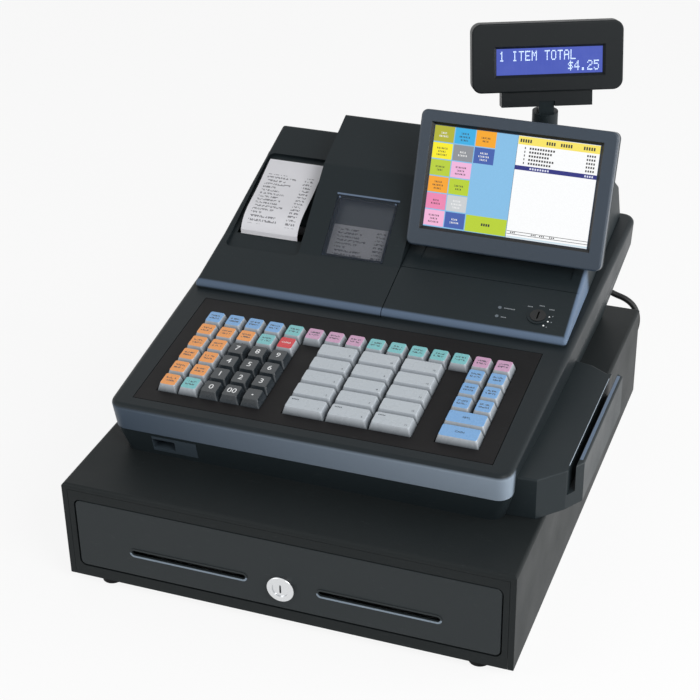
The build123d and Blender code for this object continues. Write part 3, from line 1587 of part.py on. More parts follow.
# ================================================================ card reader and sockets
reader_points = [
    (reader_in, reader_front_y),
    (reader_in + hood_r, reader_front_y),
    (reader_bend_x - 2 * wall, reader_front_y + wall / 2),
    (reader_bend_x, reader_bend_y),
    (reader_nose_x, reader_nose_y),
    (reader_right, reader_rail_y),
    (reader_right, reader_rail_back),
    (reader_right - reader_slot_w, reader_rail_back + wall),
    (reader_heel_x, reader_heel_y + wall),
    (reader_tail_x, reader_tail_y),
    (reader_in, reader_back_y),
]
with BuildPart() as card_reader:
    with BuildSketch(body_plan(cab_top + reader_low)):
        with BuildLine():
            Polyline(*reader_points, close=True)
        make_face()
    extrude(amount=reader_h)
    fillet(card_reader.faces().sort_by(Axis.Z)[-1].edges(), reader_edge_r)
    with BuildSketch(body_front(reader_front_y - wall)):
        with Locations((reader_slot_x, cab_top + reader_low + reader_h - reader_slot_depth)):
            Rectangle(reader_slot_w, 2 * reader_slot_depth, align=low_edge)
    extrude(amount=-(reader_back_y - reader_front_y + 2 * wall), mode=Mode.SUBTRACT)
    add(lower_shape.part, mode=Mode.SUBTRACT)
    add(upper_shape.part, mode=Mode.SUBTRACT)
    with BuildSketch(seam.offset(-2 * seam_gap)):
        Polygon(*seam_outline, align=None)
    extrude(amount=3 * seam_gap, mode=Mode.SUBTRACT)
save(card_reader, "card_reader")

with BuildPart() as card_slot_insert:
    with BuildSketch(body_front(foot_front + insert_depth - fit)):
        with Locations((insert_mid, cab_top + insert_up + fit)):
            Rectangle(insert_w - 2 * fit, insert_h - 2 * fit, align=low_edge)
    extrude(amount=2 * insert_depth)
    add(lower_shape.part, mode=Mode.INTERSECT)
    with BuildSketch(body_front(foot_front + card_depth)):
        with Locations((insert_mid + card_side, cab_top + insert_up + card_up)):
            Rectangle(card_w, card_h, align=low_edge)
    extrude(amount=2 * insert_depth, mode=Mode.SUBTRACT)
save(card_slot_insert, "card_slot_insert")

with BuildPart() as power_inlet:
    with BuildSketch(body_front(rear_y)):
        with Locations((inlet_mid, socket_z)):
            Rectangle(inlet_w + 2 * inlet_flange, inlet_h + 2 * inlet_flange)
    extrude(amount=-inlet_flange)
    with BuildSketch(body_front(rear_y)):
        with Locations((inlet_mid, socket_z)):
            Rectangle(inlet_w - fit, inlet_h - fit)
    extrude(amount=inlet_depth)
    with BuildSketch(body_front(rear_y + inlet_flange)):
        with Locations((inlet_mid, socket_z)):
            Rectangle(inlet_w - 2 * inlet_wall, inlet_h - 2 * inlet_wall)
    extrude(amount=inlet_depth, mode=Mode.SUBTRACT)
    with BuildSketch(body_front(rear_y - inlet_depth + inlet_flange)):
        with Locations((inlet_mid, socket_z)):
            with GridLocations(inlet_pin_pitch, 1, 3, 1):
                Rectangle(inlet_pin_w, inlet_pin_h)
    extrude(amount=-inlet_pin_l)
save(power_inlet, "power_inlet")

with BuildPart() as rocker_switch:
    rocker_turned = math.radians(rocker_turn)
    rocker_plane = Plane(
        origin=(body_x + rocker_mid - rocker_w / 2, cab_y + rocker_y, socket_z),
        x_dir=(0, math.cos(rocker_turned), math.sin(rocker_turned)),
        z_dir=(1, 0, 0),
    )
    rocker_face = rear_t / 2 + rocker_proud
    with BuildSketch(rocker_plane):
        Polygon(
            (-rear_t / 2, -rocker_h / 2),
            (rocker_face, -rocker_h / 2),
            (rocker_face - rocker_proud / 2, 0),
            (rocker_face, rocker_h / 2),
            (-rear_t / 2, rocker_h / 2),
            align=None,
        )
    extrude(amount=rocker_w)
    with BuildSketch(Plane(rocker_plane.origin - Vector(wall, 0, 0), z_dir=(1, 0, 0))):
        Circle(rocker_pin_r)
    extrude(amount=rocker_w + 2 * wall)
save(rocker_switch, "rocker_switch")

# ================================================================ drawer's cable
port_z = cab_top + port_low + port_h / 2
cable_x = cab_x + cable_port_x
cord_start = Vector(body_x + port_mid, cab_y + port_back + plug_l + boot_l, port_z)
cord_end = Vector(cable_x + plug_w / 2 + boot_l, cab_y + drawer_d + plug_l / 2, cable_port_z)
cord_points = [cord_start]
cord_points += [Vector(body_x + x, cab_y + y, z) for x, y, z in cord_route]
cord_points += [cord_end]
cord_radii = []
for a, b, c in zip(cord_points, cord_points[1:], cord_points[2:]):
    turn = (b - a).get_angle(c - b)
    shorter = min((b - a).length, (c - b).length)
    cord_radii.append(0.45 * shorter / math.tan(math.radians(turn / 2)))
with BuildPart() as drawer_cable:
    with BuildLine() as cord_line:
        FilletPolyline(*cord_points, radius=cord_radii)
    with BuildSketch(Plane(origin=cord_start, z_dir=cord_points[1] - cord_start)):
        Circle(cord_r)
    sweep()
save(drawer_cable, "drawer_cable")
cord_length = sum(edge.length for edge in cord_line.edges())
print("cord radii", [round(r, 1) for r in cord_radii], "length", round(cord_length, 1))
print("cord volume", round(drawer_cable.part.volume), round(math.pi * cord_r**2 * cord_length))

with BuildPart() as cable_plug:
    with BuildSketch(body_front(port_back)):
        with Locations((port_mid, port_z)):
            Rectangle(plug_w, plug_h)
    extrude(amount=-plug_l)
    with BuildSketch(body_front(port_back + plug_l)):
        with Locations((port_mid, port_z)):
            Circle(boot_r)
    extrude(amount=-boot_l)
    with BuildSketch(front_plane(drawer_d)):
        with Locations((cable_port_x, cable_port_z)):
            Rectangle(plug_w, plug_h)
    extrude(amount=-plug_l)
    with BuildSketch(Plane(origin=(cable_x, cab_y, cable_port_z), x_dir=(0, 1, 0), z_dir=(1, 0, 0))):
        with Locations((drawer_d + plug_l / 2, 0)):
            Circle(boot_r)
    extrude(amount=plug_w / 2 + boot_l)
save(cable_plug, "cable_plug")
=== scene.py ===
"""Finishes and small pieces of a touch-screen ticket register on its cash drawer."""

import math

import bmesh
import bpy
from bpy.props import FloatProperty, FloatVectorProperty, PointerProperty
from mathutils import Matrix, Vector


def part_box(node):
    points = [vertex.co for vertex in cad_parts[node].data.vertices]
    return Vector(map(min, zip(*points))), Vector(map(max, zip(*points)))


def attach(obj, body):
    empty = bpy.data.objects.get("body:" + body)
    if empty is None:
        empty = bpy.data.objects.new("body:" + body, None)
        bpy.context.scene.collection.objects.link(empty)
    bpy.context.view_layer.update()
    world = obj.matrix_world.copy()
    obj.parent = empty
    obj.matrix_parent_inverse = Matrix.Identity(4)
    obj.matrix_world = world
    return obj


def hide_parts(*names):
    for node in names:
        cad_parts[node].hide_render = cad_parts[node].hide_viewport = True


bl_info = {
    "name": "Ticket register finishes",
    "version": (1, 0, 0),
    "blender": (4, 5, 0),
    "location": "3D View > Sidebar > Register",
    "description": "Finishes, keyboard legends, screens, paper and cable of the ticket register",
    "category": "Object",
}

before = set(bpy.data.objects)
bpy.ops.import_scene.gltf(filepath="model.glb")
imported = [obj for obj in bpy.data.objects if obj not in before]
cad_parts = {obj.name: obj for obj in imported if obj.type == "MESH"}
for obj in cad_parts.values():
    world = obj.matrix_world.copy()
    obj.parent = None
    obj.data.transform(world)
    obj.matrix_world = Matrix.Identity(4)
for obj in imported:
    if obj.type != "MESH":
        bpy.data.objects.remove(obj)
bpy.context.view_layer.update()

MM = 0.001
BODY_X = -0.0138  # middle of the register across the drawer
BODY_Y = -0.237848  # front of the register
KEY_PITCH = 0.01905
KEY_ROWS = 6
KEY_COLUMNS = 15
CAP_TOP = 0.00652  # height of a cap's top over the deck
PAGE_MIDDLE = (-0.0006, 0.0026)  # middle of the touch page on the screen's panel
PAGE_SIZE = (0.1524, 0.092)
MARK_LIFT = 0.00002  # keeps a printed mark clear of the face below it
CAPITAL_HEIGHT = 0.72  # of the built-in font at size 1
WHITE = (1, 1, 1, 1)
BLACK = (0, 0, 0, 1)
GLASS = (0.006, 0.009, 0.014, 1)
SMOKE = (0.02, 0.032, 0.055, 1)
CABLE_RADIUS = 0.003


# --- placing
def panel(origin, outward, across=(1, 0, 0)):
    """Matrix of a flat place: x runs across it, y up it and z out of it."""
    x, z = Vector(across).normalized(), Vector(outward).normalized()
    y = z.cross(x)
    turn = Matrix((x, y, z)).transposed().to_4x4()
    return Matrix.Translation(Vector(origin)) @ turn


def slope(back, z, degrees):
    """Panel on the register that faces up and leans to the front by so many degrees."""
    lean = math.radians(degrees)
    return panel((BODY_X, BODY_Y + back, z), (0, -math.sin(lean), math.cos(lean)))


DECK = slope(0.070, 0.152, 6.4)
HOOD_FRONT = slope(0.236, 0.177, 17.59)
STEEP = slope(0.289, 0.194, 40.6)
RECEIPT = slope(0.306, 0.2005, 27.0)
SCREEN = panel((0.0832, 0.088552, 0.2696), (0, -0.9232, 0.3843))
HEAD = panel((0.08713, 0.19304, 0.35627), (0.38728, -0.89494, 0.22155), (0.91775, 0.39715, 0))


def column(number):
    """Middle of a keyboard column across the deck, the first at the left."""
    return -0.0003 + (number - 8) * KEY_PITCH


def row(number):
    """Middle of a keyboard row up the deck, the first at the back."""
    return 0.0241 + (KEY_ROWS - number) * KEY_PITCH


def up_slope(plane, back):
    """Height on a sloping panel from the distance behind the register's front."""
    up = plane.to_3x3() @ Vector((0, 1, 0))
    return (BODY_Y + back - plane.translation.y) / up.y


# --- shader building
def screen_colour(code):
    """Shares of red, green and blue from a six-figure screen colour."""
    return tuple(int(code[i : i + 2], 16) / 255 for i in (0, 2, 4))


def tone(name, description, code):
    """A colour property from a six-figure screen colour."""
    return FloatVectorProperty(
        name=name,
        description=description,
        default=screen_colour(code),
        size=3,
        min=0,
        max=1,
        subtype="COLOR_GAMMA",
    )


def length(name, description, value):
    """A size property in metres."""
    return FloatProperty(
        name=name, description=description, default=value, min=0, unit="LENGTH", precision=5
    )


def share(name, description, value, high=1.0):
    """A plain factor property."""
    return FloatProperty(
        name=name, description=description, default=value, min=0, max=high, subtype="FACTOR"
    )


def power(name, description, value):
    """A lamp's power in watts."""
    return FloatProperty(name=name, description=description, default=value, min=0)


def linear(colour, gain=1.0):
    """A property's screen colour as the shader's linear colour."""
    steps = [c / 12.92 if c <= 0.04045 else ((c + 0.055) / 1.055) ** 2.4 for c in colour]
    return tuple(min(1.0, s * gain) for s in steps) + (1.0,)


def node(tree, kind, inputs=None, **settings):
    """A shader node with its settings, and values or links for its inputs."""
    made = tree.nodes.new(kind)
    for key, value in settings.items():
        setattr(made, key, value)
    for socket, value in (inputs or {}).items():
        if isinstance(value, bpy.types.NodeSocket):
            tree.links.new(value, made.inputs[socket])
        else:
            made.inputs[socket].default_value = value
    return made


def sums(tree, operation, first, second=0.0, third=0.0):
    """Output of one math node."""
    inputs = {0: first, 1: second, 2: third}
    return node(tree, "ShaderNodeMath", inputs, operation=operation).outputs[0]


def product(tree, first, *others):
    """Values multiplied one after the other."""
    for other in others:
        first = sums(tree, "MULTIPLY", first, other)
    return first


def between(tree, value, low, high):
    """1 where a value lies between two limits, and 0 elsewhere."""
    return product(tree, sums(tree, "GREATER_THAN", value, low), sums(tree, "LESS_THAN", value, high))


def near(tree, value, middle, reach):
    """1 where a value lies within a reach of a middle, and 0 elsewhere."""
    away = sums(tree, "ABSOLUTE", sums(tree, "SUBTRACT", value, middle))
    return sums(tree, "LESS_THAN", away, reach)


def specks(tree, across, up, gaps):
    """Marks on about all but a share of the whole steps of two values."""
    cell = node(
        tree, "ShaderNodeCombineXYZ", {0: sums(tree, "FLOOR", across), 1: sums(tree, "FLOOR", up)}
    )
    made = node(
        tree, "ShaderNodeTexWhiteNoise", {"Vector": cell.outputs[0]}, noise_dimensions="2D"
    )
    return sums(tree, "GREATER_THAN", made.outputs["Value"], gaps)


def seen_rays(tree):
    """1 for the rays that show a thing, straight, mirrored or through glass."""
    rays = node(tree, "ShaderNodeLightPath").outputs
    seen = sums(tree, "MAXIMUM", rays["Is Camera Ray"], rays["Is Glossy Ray"])
    return sums(tree, "MAXIMUM", seen, rays["Is Transmission Ray"])


def blend(tree, factor, first, second, how="MIX"):
    """Colour between two colours."""
    made = node(tree, "ShaderNodeMix", {"Factor": factor}, data_type="RGBA", blend_type=how)
    for socket, value in ((made.inputs[6], first), (made.inputs[7], second)):
        if isinstance(value, bpy.types.NodeSocket):
            tree.links.new(value, socket)
        else:
            socket.default_value = value
    return made.outputs[2]


def spread(tree, value, low, high, to_low=0.0, to_high=1.0):
    """Value moved from one range to another, held at its ends."""
    inputs = dict(zip(("Value", "From Min", "From Max"), (value, low, high)))
    inputs.update({"To Min": to_low, "To Max": to_high})
    return node(tree, "ShaderNodeMapRange", inputs).outputs["Result"]


def noise(tree, place, size, detail=3.0, rough=0.55):
    """Noise whose lumps are about that many metres wide."""
    inputs = {"Vector": place, "Scale": 1 / size, "Detail": detail, "Roughness": rough}
    return node(tree, "ShaderNodeTexNoise", inputs).outputs["Fac"]


class Finish:
    """One material under construction: its tree, its shader and the object's own coordinates."""

    def __init__(self, name, **sockets):
        self.material = bpy.data.materials.new(name)
        self.material.use_nodes = True
        self.tree = self.material.node_tree
        self.shader = self.tree.nodes["Principled BSDF"]
        self.place = node(self.tree, "ShaderNodeTexCoord").outputs["Object"]
        for key, value in sockets.items():
            self.shader.inputs[key.replace("_", " ")].default_value = value

    def set(self, socket, value):
        self.tree.links.new(value, self.shader.inputs[socket])

    def on_panel(self, plane):
        """Object coordinates measured on a panel: across, up and out of it, in metres."""
        inputs = {"Vector": self.place, "Location": plane.translation, "Rotation": plane.to_euler()}
        made = node(self.tree, "ShaderNodeMapping", inputs, vector_type="TEXTURE")
        self.flat = made.outputs[0]
        return node(self.tree, "ShaderNodeSeparateXYZ", {0: self.flat}).outputs

    def grained(self, base, grain, depth, rough, patch=0.045, drift=0.35, rub=0.25):
        """Fine grain, patches of tone and roughness, and light rub marks over a base colour."""
        tree, place = self.tree, self.place
        fine = noise(tree, place, grain, 2.0, 0.5)
        broad = noise(tree, place, patch, 5.0)
        streaks = node(tree, "ShaderNodeMapping", {"Vector": place, "Scale": (18, 140, 60)})
        marks = noise(tree, streaks.outputs[0], 1 / 5, 4.0, 0.7)
        marks = spread(tree, marks, 0.62, 0.78, 0.0, rub)
        patches = spread(tree, broad, 0.3, 0.7, 0.0, drift)
        tint = blend(tree, patches, base, (0.5, 0.5, 0.5, 1), "OVERLAY")
        sheen = spread(tree, fine, 0.35, 0.75, 0.0, 0.12)
        tint = blend(tree, sheen, tint, (0.75, 0.8, 0.85, 1), "SOFT_LIGHT")
        tint = blend(tree, product(tree, marks, 0.2), tint, (0.32, 0.34, 0.36, 1))
        self.set("Base Color", tint)
        roughness = spread(tree, broad, 0.3, 0.7, *rough)
        self.set("Roughness", sums(tree, "ADD", roughness, product(tree, marks, 0.25)))
        self.relief(sums(tree, "MULTIPLY_ADD", marks, -0.3, fine), depth, 0.6)
        return self.material

    def clouded(self, factor, colour, gain):
        """Colour between a property's colour at a gain and the same colour as it is."""
        return blend(self.tree, factor, linear(colour, gain), linear(colour))

    def gloss(self, factor, low, high):
        """Roughness between two values, along a noise."""
        self.set("Roughness", spread(self.tree, factor, 0.3, 0.7, low, high))

    def shine(self, colour, strength):
        """Light of a display's colour."""
        self.set("Emission Color", colour)
        self.shader.inputs["Emission Strength"].default_value = strength

    def relief(self, height, depth, strength=0.4):
        """Bumps of a depth in metres."""
        inputs = {"Height": height, "Distance": depth, "Strength": strength}
        self.set("Normal", node(self.tree, "ShaderNodeBump", inputs).outputs[0])


def wear(nodes, material):
    """Gives CAD nodes a material."""
    for name in nodes:
        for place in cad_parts[name].material_slots:
            place.material = material


def coat(nodes, name, level, colour, grain, depth, rough, patch, **rubbing):
    """Gives CAD nodes a grained finish with a level of plain reflection."""
    finish = Finish(name, Specular_IOR_Level=level)
    wear(nodes, finish.grained(colour, grain, depth, rough, patch, **rubbing))


def print_colour(name, colour, grain, rough):
    """Material of printed figures and marks."""
    return Finish(name).grained(colour, grain, 0.00001, rough, 0.01, 0.1)


def colour_steps(tree, value, steps):
    """Flat bands of colour along a value from 0 to 1: pairs of a start and a colour."""
    made = node(tree, "ShaderNodeValToRGB", {0: value})
    ramp = made.color_ramp
    ramp.interpolation = "CONSTANT"
    while len(ramp.elements) < len(steps):
        ramp.elements.new(1.0)
    for element, (start, colour) in zip(ramp.elements, steps):
        element.position = start
        element.color = colour
    return made.outputs["Color"]


# --- piece building
def placed(name, data):
    """An object in the scene for a mesh, curve, lamp or camera."""
    made = bpy.data.objects.new(name, data)
    bpy.context.scene.collection.objects.link(made)
    return made


def piece(name, mesh, material, body):
    """A finished piece from a bmesh, riding on a body of the register."""
    data = bpy.data.meshes.new(name)
    mesh.to_mesh(data)
    mesh.free()
    data.materials.append(material)
    made = placed(name, data)
    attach(made, body)
    return made


def letters(mesh, words, height, place, thick):
    """Adds raised words to a bmesh, centred at a place and so many metres high."""
    curve = bpy.data.curves.new("words", "FONT")
    curve.body, curve.size, curve.resolution_u = words, 1.0, 3
    carrier = placed("words", curve)
    depsgraph = bpy.context.evaluated_depsgraph_get()
    flat = bpy.data.meshes.new_from_object(carrier.evaluated_get(depsgraph))
    bpy.data.objects.remove(carrier)
    bpy.data.curves.remove(curve)
    shape = bmesh.new()
    shape.from_mesh(flat)
    bmesh.ops.remove_doubles(shape, verts=shape.verts, dist=1e-5)
    spots = [v.co for v in shape.verts]
    low = Vector((min(c.x for c in spots), min(c.y for c in spots), 0))
    high = Vector((max(c.x for c in spots), max(c.y for c in spots), 0))
    grow = height / CAPITAL_HEIGHT
    bmesh.ops.translate(shape, verts=shape.verts, vec=-(low + high) / 2)
    bmesh.ops.scale(shape, verts=shape.verts, vec=(grow, grow, 1))
    raised = bmesh.ops.extrude_face_region(shape, geom=shape.faces[:])
    tops = [e for e in raised["geom"] if isinstance(e, bmesh.types.BMVert)]
    bmesh.ops.translate(shape, verts=tops, vec=(0, 0, thick))
    bmesh.ops.recalc_face_normals(shape, faces=shape.faces[:])
    shape.to_mesh(flat)
    shape.free()
    flat.transform(place)
    mesh.from_mesh(flat)
    bpy.data.meshes.remove(flat)


def tile(mesh, plane, box, thick=0.00006, lift=0.0, colour=None):
    """Adds a thin plate to a bmesh: box is its left, low, right and high edge on the plane."""
    left, low, right, high = box
    size = Matrix.Diagonal((right - left, high - low, thick, 1))
    middle = Matrix.Translation(((left + right) / 2, (low + high) / 2, lift + thick / 2))
    made = bmesh.ops.create_cube(mesh, size=1.0, matrix=plane @ middle @ size)
    if colour is not None:
        layers = mesh.loops.layers.float_color
        layer = layers.get("tone") or layers.new("tone")
        for face in {f for v in made["verts"] for f in v.link_faces}:
            for loop in face.loops:
                loop[layer] = colour


def dot(mesh, plane, x, y, radius, thick, lift=0.0):
    """Adds a small round plate to a bmesh."""
    bmesh.ops.create_cone(
        mesh,
        cap_ends=True,
        segments=20,
        radius1=radius,
        radius2=radius * 0.9,
        depth=thick,
        matrix=plane @ Matrix.Translation((x, y, lift + thick / 2)),
    )


def soften(mesh, radius, segments):
    """Rounds all the edges of a bmesh."""
    bmesh.ops.bevel(
        mesh,
        geom=mesh.edges[:],
        offset=radius,
        affect="EDGES",
        segments=segments,
        profile=0.5,
        material=-1,
    )


# --- sizes and colours
class CabinetLook(bpy.types.PropertyGroup):
    """Colours of the cash drawer's cabinet."""

    steel: tone("Coated steel", "Powder coat of the cabinet and its front frame", "1d2122")
    front: tone("Drawer front", "Moulded panel on the drawer's front", "2a2f31")
    # slot lip colour: a painted highlight along the lower edge of the media slots
    lip: tone("Slot lip", "Rubbed lower edge of the media slots", "8f9dab")
    zinc: tone("Bare zinc", "Zinc plate of the runners, floor and drawer box", "a9adae")
    rubber: tone("Rubber", "Feet under the cabinet", "141516")
    till: tone("Till plastic", "Coin cups and note bays", "1c1e20")
    clip: tone("Note clip", "Sprung arms that hold the notes", "2a2d30")
    chrome: tone("Chrome", "Lock and its bezel", "e2e4e6")
    grain: length("Coat grain", "Width of the lumps in the powder coat", 0.0009)


class HousingLook(bpy.types.PropertyGroup):
    """Colours of the register's housing."""

    shell: tone("Shell", "Moulded housing, hoods and pole", "1f2629")
    deck: tone("Deck", "Panel round the keyboard", "1d2326")
    # band colours: painted reflection on the front band under the deck, lightest at the right
    band_reflection: tone("Band", "Front band under the deck", "475361")
    band_highlight_right: tone("Band at the right", "Band where it is lightest", "8996a4")
    # ridge colour: painted highlight of the hoods' ridges, also the colour of the painted highlight strips
    # of the trim
    ridge_highlight: tone("Hood ridge", "Rounded ridges of the hoods", "5f7086")
    # card slot lip colour: a painted highlight along the card slot
    lip: tone("Card slot lip", "Bright lip along the card slot", "aebac6")
    plate: tone("Keyboard plate", "Filler plate between the keys", "121112")
    bezel: tone("Screen bezel", "Frame round the touch screen", "323d49")
    head: tone("Display head", "Case of the customer display", "15191b")
    metal: tone("Inner metal", "Brackets and the printer's frame", "6d7173")
    insert: tone("Slot insert", "Insert round the card slot", "39434b")
    socket: tone("Sockets", "Inlet, switch and cable", "121314")
    lamp: tone("Lamps", "Unlit lamp lenses", "5c666e")
    grain: length("Mould grain", "Width of the spark-erosion grain", 0.0005)


class KeyLook(bpy.types.PropertyGroup):
    """Colours of the key caps and their legends."""

    skirt: tone("Skirt", "Sides of the caps", "bcc3ca")
    number: tone("Number caps", "Caps with white numbers", "252c31")
    blue: tone("Blue", "Blue legends", "78aadd")
    orange: tone("Orange", "Orange legends", "f09c4e")
    teal: tone("Teal", "Teal legends", "78c0c4")
    pink: tone("Pink", "Pink legends", "cb9cbd")
    red: tone("Red", "Clear key", "d3303a")
    grey: tone("Grey", "Department legends", "b9c1c8")
    figure: tone("Figures", "White figures on the number caps", "f3f5f6")
    print: tone("Print", "Dark print on the coloured caps", "26303c")
    figure_height: length("Figure height", "Height of the figures on the number caps", 0.0062)


class ScreenLook(bpy.types.PropertyGroup):
    """Colours of the two displays."""

    sky: tone("Page", "Ground of the order page", "84bfe8")
    glow: share("Glow", "How strongly the displays shine", 0.92, 2.0)
    lens: tone("Customer display", "Ground of the customer display", "3c50b4")
    figures: tone("Customer figures", "Figures of the customer display", "cfe4ff")
    paper: tone("Paper", "Receipt and journal paper", "e9e9ee")
    ink: tone("Ink", "Print on the paper", "33343c")


class StageLook(bpy.types.PropertyGroup):
    """Floor and light."""

    ambient: share("Ambient", "Strength of the light from all round", 0.36, 3.0)
    key: power("Main lamp", "Power of the main lamp in watts", 17.0)
    side: power("Side lamp", "Power of the lamp at the right", 14.0)
    fill: power("Fill lamp", "Power of the lamp at the left", 7.0)
    floor: tone("Floor", "Pale floor", "f4f4f4")
    white: share("White floor", "Share of plain white in what is seen of the floor", 0.88)


class RegisterSettings(bpy.types.PropertyGroup):
    """Every size and colour of the register's finishes."""

    cabinet: PointerProperty(type=CabinetLook)
    housing: PointerProperty(type=HousingLook)
    keys: PointerProperty(type=KeyLook)
    screens: PointerProperty(type=ScreenLook)
    stage: PointerProperty(type=StageLook)


# --- stage
class REGISTER_OT_stage(bpy.types.Operator):
    """Camera, lamps, world and the pale floor"""

    bl_idname = "register.stage"
    bl_label = "Stage"

    def execute(self, context):
        look = context.scene.register.stage
        context.scene.view_settings.view_transform = "Standard"
        lens = bpy.data.cameras.new("camera")
        lens.lens, lens.sensor_width = 88.21, 36.0
        camera = placed("camera", lens)
        right, forward = Vector((0.93851, 0.34493, -0.01522)), Vector((-0.30523, 0.80828, -0.50351))
        turn = Matrix((right, right.cross(forward), -forward)).transposed()
        camera.matrix_world = Matrix.Translation((0.4380, -1.26015, 0.9156)) @ turn.to_4x4()
        context.scene.camera = camera

        lamps = (
            ("main_lamp", (1.15, -1.0, 1.25), look.key, 0.9),
            ("side_lamp", (1.6, 0.25, 0.55), look.side, 0.8),
            ("fill_lamp", (-1.3, -1.3, 0.9), look.fill, 1.2),
        )
        for name, spot, power, size in lamps:
            light = bpy.data.lights.new(name, "AREA")
            light.energy, light.size = power, size
            lamp = placed(name, light)
            lamp.location = spot
            aim = Vector((0, 0, 0.15)) - Vector(spot)
            lamp.rotation_euler = aim.to_track_quat("-Z", "Y").to_euler()

        world = bpy.data.worlds.new("studio")
        context.scene.world = world
        world.use_nodes = True
        tree = world.node_tree
        ground = tree.nodes["Background"]
        ground.inputs["Color"].default_value = WHITE
        strength = spread(tree, seen_rays(tree), 0, 1, look.ambient, 1.0)
        tree.links.new(strength, ground.inputs["Strength"])

        mesh = bmesh.new()
        bmesh.ops.create_grid(mesh, x_segments=4, y_segments=4, size=6.0)
        data = bpy.data.meshes.new("floor")
        mesh.to_mesh(data)
        mesh.free()
        floor = placed("floor", data)
        finish = Finish("floor", Roughness=0.9)
        tree = finish.tree
        cloud = noise(tree, finish.place, 0.4)
        finish.set("Base Color", finish.clouded(cloud, look.floor, 0.98))
        glow = node(tree, "ShaderNodeEmission", {"Color": WHITE, "Strength": 1.0})
        part = product(tree, seen_rays(tree), look.white)
        mixed = node(
            tree,
            "ShaderNodeMixShader",
            {0: part, 1: finish.shader.outputs[0], 2: glow.outputs[0]},
        )
        tree.links.new(mixed.outputs[0], tree.nodes["Material Output"].inputs["Surface"])
        data.materials.append(finish.material)
        return {"FINISHED"}


# --- cable
class REGISTER_OT_cable(bpy.types.Operator):
    """Drawer cable from the register's rear port to its plug in the cabinet"""

    bl_idname = "register.cable"
    bl_label = "Drawer cable"

    def execute(self, context):
        look = context.scene.register.housing
        route = (
            (0.1262, 0.217152, 0.1095),
            (0.1262, 0.228652, 0.1095),
            (0.1318, 0.238752, 0.1066),
            (0.1418, 0.244752, 0.1010),
            (0.1535, 0.245352, 0.0956),
            (0.1662, 0.244552, 0.0926),
            (0.1756, 0.243652, 0.0850),
            (0.1794, 0.241152, 0.0734),
            (0.1782, 0.236652, 0.0612),
            (0.1727, 0.230652, 0.0510),
            (0.1642, 0.224152, 0.0455),
            (0.1542, 0.219152, 0.0420),
            (0.1422, 0.216652, 0.0410),
        )
        line = bpy.data.curves.new("cable_line", "CURVE")
        line.dimensions = "3D"
        line.bevel_depth, line.bevel_resolution, line.resolution_u = CABLE_RADIUS, 6, 12
        line.use_fill_caps = True
        spline = line.splines.new("NURBS")
        spline.points.add(len(route) - 1)
        for point, spot in zip(spline.points, route):
            point.co = (*spot, 1.0)
        spline.order_u = 3
        spline.use_endpoint_u = True
        cable = placed("cable_line", line)
        sheath = Finish("cable_sheath", Specular_IOR_Level=0.35)
        sheath.grained(linear(look.socket), 0.0006, 0.00005, (0.42, 0.58), 0.02)
        line.materials.append(sheath.material)
        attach(cable, "register")
        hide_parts("drawer_cable")
        colour = linear(look.socket, 1.2)
        coat(["cable_plug"], "plug_plastic", 0.4, colour, 0.0004, 0.00004, (0.35, 0.5), 0.02)
        return {"FINISHED"}


